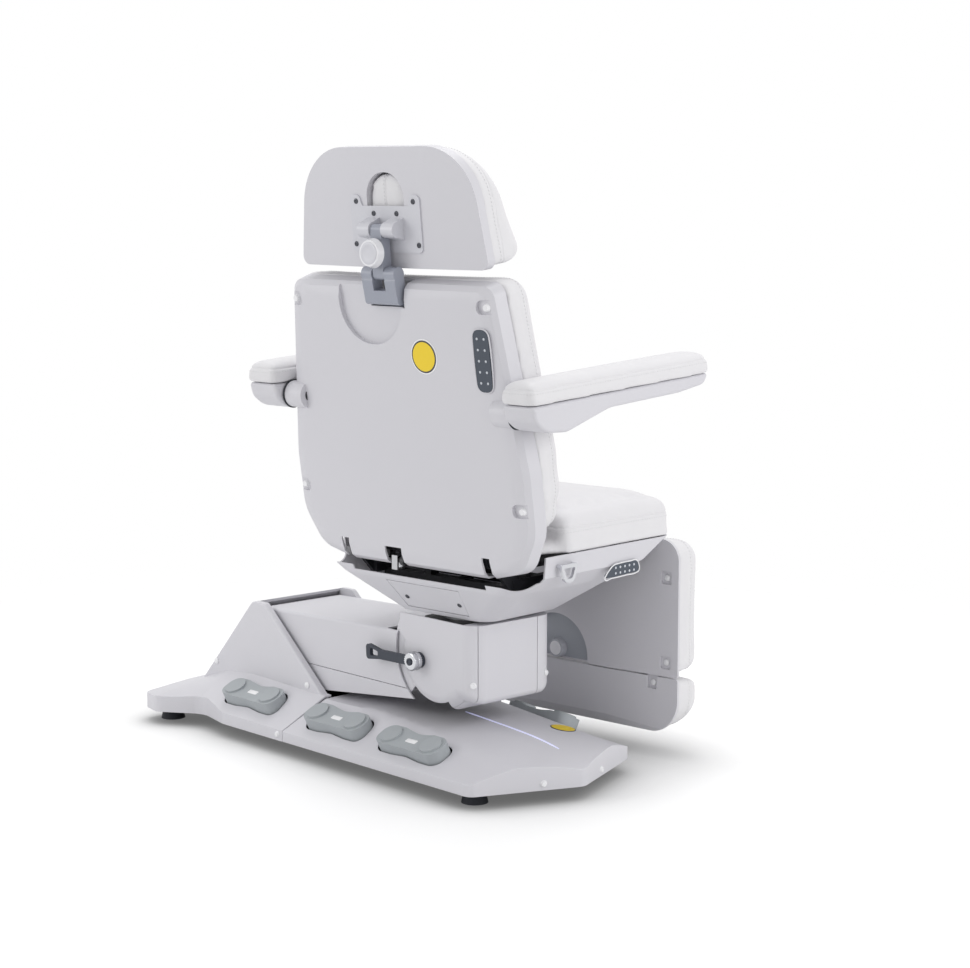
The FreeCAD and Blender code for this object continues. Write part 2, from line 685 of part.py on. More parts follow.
def hanging_loop():
    """D-shaped loop on the right of the seat shell for hanging the hand control."""
    x = -SEAT_HALF - 13
    ring = prism([(76, 490, 6), (20, 490, 6), (34, 452, 14), (62, 452, 14)], side(x), V(7, 0, 0))
    ring = ring.cut(prism([(66, 482, 3), (30, 482, 3), (40, 460, 8), (56, 460, 8)], side(x - 5),
                          V(20, 0, 0)))
    legs = [bar(V(x + 2, y, 486), V(-SEAT_HALF + 1, y, 486), 4) for y in (70, 26)]
    return ring.fuse(legs).cut(seat_bowl(0, SHELL_BOTTOM)).removeSplitter()


def recline_actuator_tube():
    """Recline motor and tube, bolted on the rear cross tube."""
    z = rod_height(BACK_HINGE, RECLINE)
    tube = bar(V(RECLINE_X, -60, z), V(RECLINE_X, 96, z), 15)
    motor = bar(V(RECLINE_X, -110, z), V(RECLINE_X, -40, z), 24)
    saddle = block(RECLINE_X - 9, RECLINE_X + 9, 58, 82, 430, z - 5)
    bore = bar(V(RECLINE_X, -36, z), V(RECLINE_X, 120, z), 9.6)
    return tube.fuse([motor, saddle]).cut(bore).removeSplitter()


def slotted_rod(x, start, pin, z, ahead):
    """Push rod along Y that ends in an upright slot round a crank pin."""
    rod = bar(V(x, start, z), V(x, pin - ahead * 6, z), 9)
    eye = block(x - 8, x + 8, pin - 11, pin + 11, z - 15, z + 15)
    slot = block(x - 20, x + 20, pin - 6.6, pin + 6.6, z - 10.5, z + 10.5)
    return rod.fuse(eye).cut(slot).removeSplitter()


def recline_rod():
    """Recline push rod, slotted for the backrest's crank pin."""
    return slotted_rod(RECLINE_X, 10, crank_pin(BACK_HINGE, RECLINE)[0], rod_height(BACK_HINGE, RECLINE), 1)


def leg_actuator_tube():
    """Leg rest motor and tube, bolted on the front cross tube."""
    z = rod_height(LEG_HINGE, LEG_RAISE)
    tube = bar(V(LEG_X, -120, z), V(LEG_X, -244, z), 15)
    motor = bar(V(LEG_X, -88, z), V(LEG_X, -150, z), 24)
    saddle = block(LEG_X - 9, LEG_X + 9, -100, -82, 400, z + 5)
    bore = bar(V(LEG_X, -160, z), V(LEG_X, -260, z), 9.6)
    return tube.fuse([motor, saddle]).cut(bore).removeSplitter()


def leg_rod():
    """Leg rest push rod, slotted for the leg rest's crank pin."""
    return slotted_rod(LEG_X, -190, crank_pin(LEG_HINGE, LEG_RAISE)[0], rod_height(LEG_HINGE, LEG_RAISE),
                       -1)


def leaned(shape):
    """Lean an upright backrest piece back about the recline hinge."""
    leant = shape.copy()
    leant.rotate(V(0, *BACK_HINGE), V(1, 0, 0), -BACK_TILT)
    return leant


def upright_spot(y, z):
    """Place of a final point before the backrest is leaned back, as y, z."""
    dy = y - BACK_HINGE[0]
    dz = z - BACK_HINGE[1]
    cosine = math.cos(math.radians(BACK_TILT))
    sine = math.sin(math.radians(BACK_TILT))
    return BACK_HINGE[0] + dy * cosine - dz * sine, BACK_HINGE[1] + dz * cosine + dy * sine


def symmetric(right):
    """Close a list of right-hand outline points with their mirror images."""
    return right + [(-p[0],) + tuple(p[1:]) for p in reversed(right)]


def back_outline(inset):
    """Rear outline of the backrest: widest low down, round below and narrower at the top."""
    return symmetric([(-205 + inset, 460 + inset, 70), (-292 + inset, 482 + inset, 60),
                      (-334 + inset, 566, 90),
                      (-334 + inset, 690, 160), (-284 + inset, BACK_TOP - inset, 28)])


def back_form(inset):
    """Solid form of the backrest shell: flat rear, rounded edges, full width at the rim."""
    levels = [(BACK_REAR - inset, 34), (BACK_REAR - 5 - inset, 14), (BACK_REAR - 16, 4), (BACK_RIM, 0)]
    wires = [outline(back_outline(inset + extra), front(y)) for y, extra in levels]
    return Part.makeLoft(wires, True, True)


def backrest_shell():
    """Moulded rear shell: a shallow tray with axle bosses, screw recesses, a scoop and the headrest slot."""
    tray = back_form(0)
    bosses = both(across(*AXLE, 268, 317, 28))
    tray = tray.fuse(bosses)
    hollow = back_form(WALL).cut(block(-400, 400, BACK_REAR - 14, 400, 930, 1100).common(
        block(SCOOP_X - 92, SCOOP_X + 92, 100, 400, 930, 1100)))
    open_front = prism(back_outline(WALL), front(BACK_RIM - 1), V(0, 6, 0))
    tray = tray.cut(hollow).cut(open_front)
    for z, x in BACK_SCREWS:
        backing = block(-x - 60, -x + 26, BACK_REAR - BACK_RECESS - WALL, BACK_REAR - WALL, z - 17,
                        z + 19).common(back_form(0))
        recess = prism([(-x - 60, z - 13, 6), (-x + 22, z - 13, 12), (-x + 22, z + 15, 12),
                        (-x - 60, z + 15, 6)],
                       front(BACK_REAR - BACK_RECESS), V(0, 40, 0))
        tray = tray.fuse([backing, mirrored(backing)]).cut(both(recess))
    scoop = prism([(SCOOP_X - 88, 936, 86), (SCOOP_X + 88, 936, 86), (SCOOP_X + 88, 1100),
                   (SCOOP_X - 88, 1100)],
                  front(BACK_REAR - 10), V(0, 40, 0))
    slot = block(-STEM_HALF - 6, STEM_HALF + 6, 147, 260, 1014, 1100)
    tray = tray.cut(scoop).cut(slot)
    tray = tray.cut(block(RECLINE_X - 24, RECLINE_X + 24, 100, 240, 440, 506))
    tray = tray.cut(both(block(190.5, 212, 100, 240, 440, 512)))
    bores = both(across(*AXLE, 266, 400, AXLE_RADIUS))
    return tray.cut(bores).removeSplitter()


def backrest_frame():
    """Steel backrest frame: hinge tube, uprights, cross bars, axles, headrest guides and the recline crank."""
    y, z = BACK_HINGE
    tube = across(y, z, -190, 190, 12)
    upright_bar = block(-190, -178, BACK_RIM + 2, 172, z, 980).fuse(across(y, z, -190, -178, 20))
    bars = [block(-190, 190, BACK_RIM + 2, 150, height, height + 30) for height in (700, 870, 940)]
    guide = block(-42, -33, 148, 168, 860, 1000)
    pin_y, pin_z = upright_spot(*crank_pin(BACK_HINGE, RECLINE))
    crank = strap(BACK_HINGE, (pin_y, pin_z), 9, RECLINE_X - 22, RECLINE_X - 12)
    pin = across(pin_y, pin_z, RECLINE_X - 22, RECLINE_X + 14, 5)
    bracket = block(180, 284, BACK_RIM + 8, 172, AXLE[1] - 12, AXLE[1] + 12)
    axle = across(*AXLE, 266, 344, AXLE_RADIUS - 0.2).fuse(bracket)
    frame = tube.fuse(bars + [upright_bar, mirrored(upright_bar), guide, mirrored(guide), crank, pin, axle,
                              mirrored(axle)])
    return frame.cut(across(y, z, -230, -170, 9.4)).cut(across(y, z, 170, 230, 9.4)).removeSplitter()


def backrest_cushion():
    """Backrest pad: crowned, with drawn-in sides and round lower corners."""
    pad = symmetric([(-205, 537, 50), (-300, 556, 50), (-322, 640, 90), (-322, 720, 120), (-281, 1072, 40)])
    levels = [(BACK_RIM - 0.4, 4), (118, 0), (88, 7), (70, 28), (60, 95)]
    return pillow(pad, front, levels, 2)


def back_keypad():
    """Membrane keypad in a rimmed bezel on the right of the backrest shell."""
    pad = prism([(-20, -62, 16), (20, -62, 16), (20, 62, 16), (-20, 62, 16)], plan(0), V(0, 0, 3))
    pad.Placement = FreeCAD.Placement(V(-252, BACK_REAR, 918), FreeCAD.Rotation(V(1, 0, 0), -90))
    return pad.cut(back_form(0))


def back_caps():
    """Domed caps in the four screw recesses of the backrest shell."""
    caps = []
    for z, x in BACK_SCREWS:
        cap = Part.makeCone(9, 6, 6, V(-x, BACK_REAR - BACK_RECESS, z), V(0, 1, 0))
        caps += [cap, mirrored(cap)]
    return Part.makeCompound(caps)


def armrest_shell():
    """Right armrest's lower shell: deep hub at the rear that tapers to the tip."""
    left = -ARM_X - ARM_HALF_WIDTH + 3
    profile = [(ARM_REAR - 8, 829, 6), (ARM_REAR - 16, 800, 30), (236, 777, 60), (170, 774, 60),
               (40, 812, 120), (-180, 826, 40),
               (-262, 838, 24), (ARM_TIP + 8, 861, 4)]
    shell = prism(profile, side(left), V(2 * ARM_HALF_WIDTH - 6, 0, 0))
    shell = rounded_edges(shell, 8, lambda edge: edge.BoundBox.XLength < 0.01 and edge.CenterOfMass.z < 824)
    axle_y, axle_z = axle_spot()
    hub = across(axle_y, axle_z, -330, -318.5, 24)
    return shell.fuse(hub).cut(across(axle_y, axle_z, -346, -300, AXLE_RADIUS + 0.3)).removeSplitter()


def axle_spot():
    """Armrest axle after the backrest is leaned back, as y, z."""
    dy = AXLE[0] - BACK_HINGE[0]
    dz = AXLE[1] - BACK_HINGE[1]
    cosine = math.cos(math.radians(BACK_TILT))
    sine = math.sin(math.radians(BACK_TILT))
    return BACK_HINGE[0] + dy * cosine + dz * sine, BACK_HINGE[1] + dz * cosine - dy * sine


def armrest_pad():
    """Right armrest's pad: crowned bar with round ends, rising a little to its tip."""
    middle = (ARM_REAR + ARM_TIP) / 2
    half = (ARM_REAR - ARM_TIP) / 2
    wide = ARM_HALF_WIDTH
    bar_plan = [(-wide, -half, 26), (wide, -half, 26), (wide, half, 20), (-wide, half, 20)]
    pad = pillow(bar_plan, plan, [(0, 3), (14, 0), (28, 3), (36, 12), (39, 28)], 1)
    pad.rotate(V(0, 0, 0), V(1, 0, 0), -3.2)
    pad.translate(V(-ARM_X, middle, 846.0))
    return pad


def headrest_stem():
    """Headrest stem: flat bar in the backrest with a clevis that stands out of the slot."""
    y, z = upright_spot(*STEM_PIVOT)
    blade = block(-31, 31, 153, 165, 850, 1046)
    foot = prism([(153, 1020), (y + 10, 1020, 8), (y + 15, z, 14), (y - 15, z, 14), (y - 13, 1046, 4),
                  (153, 1046)],
                 side(-STEM_HALF), V(2 * STEM_HALF, 0, 0))
    foot = foot.fuse(across(y, z, -STEM_HALF, STEM_HALF, 15)).cut(block(-17, 17, y - 24, y + 60, z - 32,
                                                                        z + 60))
    pin = across(y, z, -STEM_HALF, STEM_HALF, 6)
    return blade.fuse([foot, pin]).removeSplitter()


def headrest_link():
    """Link between stem and headrest, with a boss for the lock knob."""
    link = strap(STEM_PIVOT, HEAD_PIVOT, 12, -15, 15)
    boss = bar(V(0, 280, HEAD_KNOB_Z), V(0, 294, HEAD_KNOB_Z), 9)
    link = link.fuse(boss)
    for pivot in (STEM_PIVOT, HEAD_PIVOT):
        link = link.cut(across(*pivot, -40, 40, 6.4))
    return link.cut(bar(V(0, 272, HEAD_KNOB_Z), V(0, 310, HEAD_KNOB_Z), 5)).removeSplitter()


def headrest_knob():
    """Round clamp knob on a stud through the link."""
    disc = Part.makeCone(30, 26, 14, V(0, 296, HEAD_KNOB_Z), V(0, 1, 0))
    return disc.fuse(bar(V(0, 276, HEAD_KNOB_Z), V(0, 297, HEAD_KNOB_Z), 4.7)).removeSplitter()


def headrest_outline(inset):
    """Rear outline of the headrest: wide at the neck, narrower and round at the crown."""
    return symmetric([(-HEADREST_FOOT[0] + inset, HEADREST_FOOT[1] + inset, 18),
                      (-HEADREST_CROWN[0] + inset, HEADREST_CROWN[1] - inset, 130 - inset)])


def head_leaned(shape):
    """Lean an upright headrest piece back about the headrest pivot."""
    leant = shape.copy()
    leant.rotate(V(0, *HEAD_PIVOT), V(1, 0, 0), -HEADREST_LEAN)
    return leant


def wedge(height):
    """Points (u, v) as x, z on a plane that leans more the further it stands from the headrest's rim."""
    slope = HEADREST_WEDGE * (HEADREST_RIM - height) / (HEADREST_RIM - HEADREST_FRONT)
    return lambda u, v: V(u, height + slope * (v - 1195), v)


def face_arch(grow):
    """Arched opening over the hinge plate."""
    reach = 50 + grow
    return [(-reach, 1150 - grow), (reach, 1150 - grow), (reach, 1268 + grow, 48 + grow),
            (-reach, 1268 + grow, 48 + grow)]


def headrest_shell():
    """Moulded headrest shell: a flat middle between two creases, sides swept forward, with an arched hole."""
    def form(inset):
        wide = HEADREST_FOOT[0] + 2 - inset
        rear = HEADREST_REAR - inset
        swept = [(-wide, HEADREST_RIM - inset), (-wide, rear - 7), (-CREASE, rear), (CREASE, rear),
                 (wide, rear - 7),
                 (wide, HEADREST_RIM - inset)]
        body = prism(swept, plan(1000), V(0, 0, 400))
        return body.common(prism(headrest_outline(inset), front(200), V(0, 100, 0)))

    tray = form(0).cut(form(WALL))
    return tray.cut(prism(face_arch(1.5), front(180), V(0, 200, 0)))


def headrest_cushion():
    """Headrest pad: a wedge thicker at the neck, with drawn-in sides and an arched hole for the face."""
    pad = headrest_outline(2)
    levels = [(HEADREST_RIM - 0.4, 3), (214, 0), (170, 4), (148, 18), (HEADREST_FRONT, 46)]
    return pillow(pad, wedge, levels, 2).cut(prism(face_arch(1.5), front(60), V(0, 240, 0)))


def face_plug():
    """Upholstered plug that closes the face hole."""
    return prism(face_arch(0), front(156), V(0, HEADREST_REAR - 7 - 156, 0))


def headrest_plate():
    """Steel hinge plate with two ears, and the knuckles for the link."""
    y, z = HEAD_PIVOT
    rear = HEADREST_REAR
    sheet = symmetric([(-97, 1110, 10), (-97, 1225, 11), (-72, 1225, 11), (-64, 1203, 4)])
    plate = prism(sheet, front(rear), V(0, 3, 0))
    for x, height in ((80, 1212), (88, 1126), (32, 1188)):
        plate = plate.cut(both(bar(V(x, rear - 10, height), V(x, rear + 10, height), 4)))
    knuckle = prism([(rear + 3, z - 22), (y, z - 16, 14), (y + 16, z, 12), (y, z + 16, 14),
                     (rear + 3, z + 22)],
                    side(17), V(KNUCKLE_HALF - 17, 0, 0)).fuse(across(y, z, 17, KNUCKLE_HALF, 16))
    pin = across(y, z, -KNUCKLE_HALF, KNUCKLE_HALF, 6)
    return plate.fuse([knuckle, mirrored(knuckle), pin]).removeSplitter()


def leg_tray(inset):
    """Solid form of the leg rest shell: facets swept forward at the sides, round upper corners."""
    wide = LEG_HALF - inset
    rear = LEG_REAR - inset
    rim = LEG_RIM - 10
    swept = [(-wide, rim), (-wide, rear - 12), (-180, rear - 6), (-95, rear), (95, rear), (180, rear - 6),
             (wide, rear - 12), (wide, rim)]
    face = symmetric([(-wide, LEG_BOTTOM + inset, 6), (-wide, LEG_TOP - inset, 46)])
    return prism(swept, plan(0), V(0, 0, 600)).common(prism(face, front(LEG_RIM), V(0, LEG_TRAY, 0)))


def screw_pocket(x, z, half):
    """Backing pad and square recess for a cover screw, low on the side of the leg rest."""
    backing = block(-x - half - 3, -x + half + 3, LEG_RIM, LEG_RIM + 6, z - half - 3, z + half + 3)
    corners = [(-x - half, z - half, 4), (-x + half, z - half, 4), (-x + half, z + half, 4),
               (-x - half, z + half, 4)]
    return backing, prism(corners, front(LEG_RIM + 3), V(0, 40, 0))


def legrest_shell():
    """Moulded leg rest shell with a round recess for the lock knob and square screw recesses."""
    floor = LEG_REAR - 12
    centre = LOCK_Z - 12
    recess = Part.makeCylinder(LOCK_RECESS, 60, V(LOCK_X, floor, centre), V(0, 1, 0))
    backing = Part.makeCylinder(LOCK_RECESS + WALL, WALL, V(LOCK_X, floor - WALL, centre), V(0, 1, 0))
    wall = Part.makeCylinder(LOCK_RECESS + WALL, LEG_TRAY, V(LOCK_X, floor, centre), V(0, 1, 0)).cut(recess)
    shell = leg_tray(0).cut(leg_tray(WALL)).cut(recess).fuse([backing.common(leg_tray(0)),
                                                              wall.common(leg_tray(0))])
    for z in (404, 217):
        pad, pocket = screw_pocket(252, z, 14)
        shell = shell.fuse([pad, mirrored(pad)]).cut(both(pocket))
    return shell.cut(bar(V(LOCK_X, -400, LOCK_Z), V(LOCK_X, -300, LOCK_Z), 6)).removeSplitter()


def legrest_frame():
    """Leg rest hinge tube with mounting plates and the crank."""
    y, z = LEG_HINGE
    tube = across(y, z, -190, 190, 10)
    arm = block(-176, -166, LEG_REAR - 5, y, z - 9, z).fuse(block(-186, -156, LEG_REAR - 5, LEG_REAR + 3,
                                                                  z - 50, z))
    pin_y, pin_z = crank_pin(LEG_HINGE, LEG_RAISE)
    crank = strap(LEG_HINGE, (pin_y, pin_z), 9, LEG_X + 12, LEG_X + 22)
    pin = across(pin_y, pin_z, LEG_X - 14, LEG_X + 22, 5)
    frame = tube.fuse([arm, mirrored(arm), crank, pin]).cut(leg_tray(0))
    return frame.cut(across(y, z, -230, -170, 7.4)).cut(across(y, z, 170, 230, 7.4)).removeSplitter()


def rail_guides():
    """Channels behind the leg pad that the foot section's rails slide in."""
    low = LEG_BOTTOM + 14
    channel = block(RAIL_X - 18, RAIL_X + 18, RAIL_FRONT - 3.4, LEG_REAR - 12.2, low, 430)
    channel = channel.cut(block(RAIL_X - RAIL_HALF - 0.4, RAIL_X + RAIL_HALF + 0.4, RAIL_FRONT - 0.4,
                                RAIL_REAR + 0.4, low - 1, 440))
    return both(channel)


def rail_pockets(low, high):
    """Slots in the rear of a pad for the rails and their guides."""
    return both(block(RAIL_X - 32, RAIL_X + 32, RAIL_FRONT - 6, LEG_RIM + 10, low, high))


def legrest_cushion():
    """Leg pad: crowned, with drawn-in sides, and slotted behind for the rails."""
    half = LEG_HALF - 2
    pad = symmetric([(-half, LEG_BOTTOM + 4, 20), (-half, LEG_TOP - 1, 44)])
    levels = [(LEG_RIM - 0.4, 3), (LEG_RIM - 30, 0), (LEG_RIM - 66, 7), (LEG_RIM - 86, 26),
              (LEG_PAD_FRONT, 70)]
    stud = bar(V(LOCK_X, LEG_RIM - 8, LOCK_Z), V(LOCK_X, LEG_RIM + 8, LOCK_Z), 8)
    return pillow(pad, front, levels, 3).cut(rail_pockets(100, 440)).cut(stud)


def foot_tray(inset):
    """Solid form of the foot section's shell: large round lower corners, bevelled below to clear the base."""
    wide = LEG_HALF - inset
    rear = LEG_REAR - inset
    rim = LEG_RIM - 10
    face = symmetric([(-wide, FOOT_BOTTOM + inset, 78), (-wide, LEG_BOTTOM - 3 - inset, 6)])
    swept = [(-wide, rim), (-wide, rear - 12), (-95, rear), (95, rear), (wide, rear - 12), (wide, rim)]
    tray = prism(swept, plan(0), V(0, 0, 600)).common(prism(face, front(LEG_RIM), V(0, LEG_TRAY, 0)))
    low = FOOT_BOTTOM + inset
    depth, height = FOOT_BEVEL
    bevel = [(rear - depth, low), (rear - depth, low - 20), (rear + 20, low - 20),
             (rear + 20, low + height), (rear, low + height)]
    return tray.cut(prism(bevel, side(-wide - 10), V(2 * wide + 20, 0, 0)))


def footrest_shell():
    """Moulded foot section shell with a screw recess each side."""
    pad, pocket = screw_pocket(217, 168, 13)
    pocket = pocket.fuse(block(-230, -204, LEG_RIM + 3, LEG_REAR + 10, 168, 200))
    return foot_tray(0).cut(foot_tray(WALL)).fuse([pad, mirrored(pad)]).cut(both(pocket)).removeSplitter()


def footrest_rails():
    """Two flat steel rails that carry the foot section, each on a foot plate inside its shell."""
    rail = block(RAIL_X - RAIL_HALF, RAIL_X + RAIL_HALF, RAIL_FRONT, RAIL_REAR, 90, 420)
    foot = block(RAIL_X - 30, RAIL_X + 10, RAIL_FRONT, LEG_REAR - 12.4, 76, 150)
    return both(rail.fuse(foot))


def footrest_cushion():
    """Foot pad: crowned, with large round lower corners, and slotted behind for the rails."""
    half = LEG_HALF - 2
    pad = symmetric([(-half, FOOT_BOTTOM + 1, 76), (-half, LEG_BOTTOM - 5, 14)])
    levels = [(LEG_RIM - 0.4, 3), (LEG_RIM - 30, 0), (LEG_RIM - 66, 7), (LEG_RIM - 86, 20),
              (LEG_PAD_FRONT, 44)]
    return pillow(pad, front, levels, 2).cut(rail_pockets(74, 300))


def footrest_knob():
    """Round lock knob of the foot section, in the recess of the leg rest."""
    disc = Part.makeCone(23, 20, 14, V(LOCK_X, LEG_REAR - 11, LOCK_Z), V(0, 1, 0))
    return disc.fuse(bar(V(LOCK_X, LEG_REAR - 20, LOCK_Z), V(LOCK_X, LEG_REAR - 10, LOCK_Z),
                         5)).removeSplitter()


base_group = {"base_frame": base_frame(), "base_front_cover": base_front_cover(),
              "base_rear_cover": base_rear_cover(),
              "levelling_feet": levelling_feet(), "tower_pins": tower_pins(), "control_box": control_box(),
              "base_caps": base_caps(), "arm_frame": arm_frame(), "arm_upper_cover": arm_upper_cover(),
              "arm_lower_cover": arm_lower_cover(), "parallel_links": parallel_links(),
              "lift_actuator_tube": lift_actuator_tube(), "lift_actuator_rod": lift_actuator_rod(),
              "head_frame": head_frame(), "head_right_cover": head_cover(-200, HEAD_SEAMS[0] - GAP / 2),
              "head_front_cover": head_cover(HEAD_SEAMS[0] + GAP / 2, HEAD_SEAMS[1] - GAP / 2),
              "head_left_cover": head_cover(HEAD_SEAMS[1] + GAP / 2, 200),
              "swivel_bearing": swivel_bearing(),
              "head_caps": head_caps(), "swivel_lever": swivel_lever()}
for name in PEDALS:
    base_group["pedal_right_" + name] = pedal(name)
    base_group["pedal_left_" + name] = mirrored(pedal(name))

seat_group = {"seat_frame": seat_frame(), "seat_shell": seat_shell(), "seat_rear_panel": seat_rear_panel(),
              "seat_cushion": seat_cushion(), "side_keypad": side_keypad(), "hanging_loop": hanging_loop(),
              "recline_actuator_tube": recline_actuator_tube(), "recline_rod": recline_rod(),
              "leg_actuator_tube": leg_actuator_tube(), "leg_rod": leg_rod(),
              "armrest_right_shell": armrest_shell(), "armrest_left_shell": mirrored(armrest_shell()),
              "armrest_right_pad": armrest_pad(), "armrest_left_pad": mirrored(armrest_pad()),
              "headrest_link": headrest_link(), "headrest_knob": headrest_knob(),
              "legrest_shell": legrest_shell(), "legrest_frame": legrest_frame(),
              "rail_guides": rail_guides(),
              "legrest_cushion": legrest_cushion(), "footrest_shell": footrest_shell(),
              "footrest_rails": footrest_rails(),
              "footrest_cushion": footrest_cushion(), "footrest_knob": footrest_knob()}

back_group = {"backrest_shell": backrest_shell(), "backrest_frame": backrest_frame(),
              "backrest_cushion": backrest_cushion(),
              "back_keypad": back_keypad(), "back_caps": back_caps(),
              "headrest_stem": headrest_stem()}

head_group = {"headrest_plate": headrest_plate(), "headrest_shell": headrest_shell(),
              "headrest_cushion": headrest_cushion(),
              "face_plug": face_plug()}

for name, shape in back_group.items():
    seat_group[name] = leaned(shape)
for name, shape in head_group.items():
    seat_group[name] = head_leaned(shape)

chair = {}
for name, shape in base_group.items():
    turned = shape.copy()
    turned.rotate(V(0, 0, 0), V(0, 0, 1), BASE_TURN)
    chair[name] = turned
chair.update(seat_group)

os.makedirs("parts", exist_ok=True)
whole = FreeCAD.BoundBox()
for name, shape in chair.items():
    placed = shape.copy()
    placed.translate(SWIVEL_AXIS)
    whole.add(placed.optimalBoundingBox())
    placed.exportStep("parts/" + name + ".step")
    print(name, "solids", len(placed.Solids), "valid", placed.isValid(), "volume",
          round(placed.Volume / 1000))
print("box", whole)
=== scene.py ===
"""Electric beauty treatment chair seen from behind: studio view and finishes of every piece, in metres."""
import math

import bmesh
import bpy
import numpy as np
from mathutils import Matrix, Vector
from mathutils.bvhtree import BVHTree


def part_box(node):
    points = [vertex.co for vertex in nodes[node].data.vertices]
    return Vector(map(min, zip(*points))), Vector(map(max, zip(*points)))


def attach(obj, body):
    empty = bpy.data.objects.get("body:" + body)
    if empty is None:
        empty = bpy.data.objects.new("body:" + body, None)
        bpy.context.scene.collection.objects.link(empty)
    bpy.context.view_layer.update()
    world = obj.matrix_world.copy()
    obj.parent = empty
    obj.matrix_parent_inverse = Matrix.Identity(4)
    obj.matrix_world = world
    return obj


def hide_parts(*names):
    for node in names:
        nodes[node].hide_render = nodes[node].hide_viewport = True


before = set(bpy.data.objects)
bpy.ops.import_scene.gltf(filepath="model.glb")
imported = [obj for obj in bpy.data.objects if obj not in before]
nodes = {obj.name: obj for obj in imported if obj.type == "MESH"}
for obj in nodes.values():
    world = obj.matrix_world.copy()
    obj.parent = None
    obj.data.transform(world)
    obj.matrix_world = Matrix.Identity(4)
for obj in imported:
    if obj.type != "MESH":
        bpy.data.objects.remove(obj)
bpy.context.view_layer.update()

# Photographer's place
# A long lens stands behind the chair's right shoulder, a little above seat height.
# Places are measured from the swivel axis, which the seat's turntable gives.
turntable_low, turntable_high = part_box("swivel_bearing")
SWIVEL = Vector(((turntable_low.x + turntable_high.x) / 2, (turntable_low.y + turntable_high.y) / 2, 0))
CAMERA_PLACE = SWIVEL + Vector((-3.173, 3.428, 1.256))
CAMERA_PITCH = math.radians(7.76)
CAMERA_HEADING = Vector((0.676, -0.737, 0)).normalized()
CAMERA_LENS = 82.8
camera = bpy.data.objects.new("camera", bpy.data.cameras.new("camera"))
bpy.context.scene.collection.objects.link(camera)
camera.data.lens = CAMERA_LENS
camera.data.sensor_width = 36.0
camera.location = CAMERA_PLACE
looking = CAMERA_HEADING * math.cos(CAMERA_PITCH) - Vector((0, 0, math.sin(CAMERA_PITCH)))
camera.rotation_euler = looking.to_track_quat("-Z", "Y").to_euler()
bpy.context.scene.camera = camera
bpy.context.scene.view_settings.view_transform = "Standard"


def tone(code):
    """Linear colour of an sRGB hex code."""
    parts = [int(code[i:i + 2], 16) / 255 for i in (0, 2, 4)]
    linear = [p / 12.92 if p <= 0.04045 else ((p + 0.055) / 1.055) ** 2.4 for p in parts]
    return (*linear, 1.0)


def add(tree, kind, settings, links):
    """Add a node, set its properties or sockets and link its inputs."""
    node = tree.nodes.new("ShaderNode" + kind)
    for key, value in settings.items():
        if key in node.inputs:
            node.inputs[key].default_value = value
        else:
            setattr(node, key, value)
    for key, source in links.items():
        tree.links.new(source, node.inputs[key])
    return node


# Studio
# White paper sweep on the floor, a white surround and broad soft lamps, as in a catalogue picture.
# The paper thins out to the white surround away from the chair, so no edge shows.
# The camera sees it a little lifted, and a painted contact shadow darkens it close under the chair.
PAPER_SOLID = 1.1
PAPER_END = 2.6
PAPER_LIFT = 0.13
CONTACT_REACH = 0.2
paper_mesh = bpy.data.meshes.new("paper")
shape = bmesh.new()
bmesh.ops.create_circle(shape, cap_ends=True, segments=96, radius=PAPER_END)
shape.to_mesh(paper_mesh)
shape.free()
paper = bpy.data.objects.new("paper", paper_mesh)
bpy.context.scene.collection.objects.link(paper)


def blank(name):
    """New material with an empty node tree."""
    finish = bpy.data.materials.new(name)
    finish.use_nodes = True
    finish.node_tree.nodes.clear()
    return finish


paper_finish = blank("white_paper")
tree = paper_finish.node_tree
spot = add(tree, "TexCoord", {}, {})
reach = add(tree, "VectorMath", {"operation": "LENGTH"}, {"Vector": spot.outputs["Object"]})
fade = add(tree, "MapRange",
           {"interpolation_type": "SMOOTHSTEP", "From Min": PAPER_SOLID, "From Max": PAPER_END},
           {"Value": reach.outputs["Value"]})
# Painted shadow: the paper's colour darkens towards 545456 where the occlusion mask finds the chair close.
painted_contact_shadow = add(tree, "AmbientOcclusion", {"Distance": CONTACT_REACH}, {})
shade = add(tree, "MixRGB", {"Color1": tone("545456"), "Color2": tone("FBFBFB")}, {"Fac": painted_contact_shadow.outputs["AO"]})
matt = add(tree, "BsdfDiffuse", {}, {"Color": shade.outputs["Color"]})
ray = add(tree, "LightPath", {}, {})
lift = add(tree, "MapRange", {"To Min": 0.0, "To Max": PAPER_LIFT}, {"Value": ray.outputs["Is Camera Ray"]})
white = add(tree, "Emission", {"Color": tone("FFFFFF")}, {"Strength": lift.outputs["Result"]})
lit = add(tree, "AddShader", {}, {})
tree.links.new(matt.outputs["BSDF"], lit.inputs[0])
tree.links.new(white.outputs["Emission"], lit.inputs[1])
clear = add(tree, "BsdfTransparent", {}, {})
blend = add(tree, "MixShader", {}, {"Fac": fade.outputs["Result"]})
tree.links.new(lit.outputs["Shader"], blend.inputs[1])
tree.links.new(clear.outputs["BSDF"], blend.inputs[2])
add(tree, "OutputMaterial", {}, {"Surface": blend.outputs["Shader"]})
paper.data.materials.append(paper_finish)

SURROUND_LIGHT = 0.70
surround = bpy.data.worlds.new("surround")
bpy.context.scene.world = surround
surround.use_nodes = True
tree = surround.node_tree
tree.nodes.clear()
ray = add(tree, "LightPath", {}, {})
seen = add(tree, "Math", {"operation": "MAXIMUM"}, {})
tree.links.new(ray.outputs["Is Camera Ray"], seen.inputs[0])
tree.links.new(ray.outputs["Is Glossy Ray"], seen.inputs[1])
level = add(tree, "MapRange", {"To Min": SURROUND_LIGHT, "To Max": 1.0}, {"Value": seen.outputs["Value"]})
sky = add(tree, "Background", {"Color": tone("FFFFFF")}, {"Strength": level.outputs["Result"]})
add(tree, "OutputWorld", {}, {"Surface": sky.outputs["Background"]})


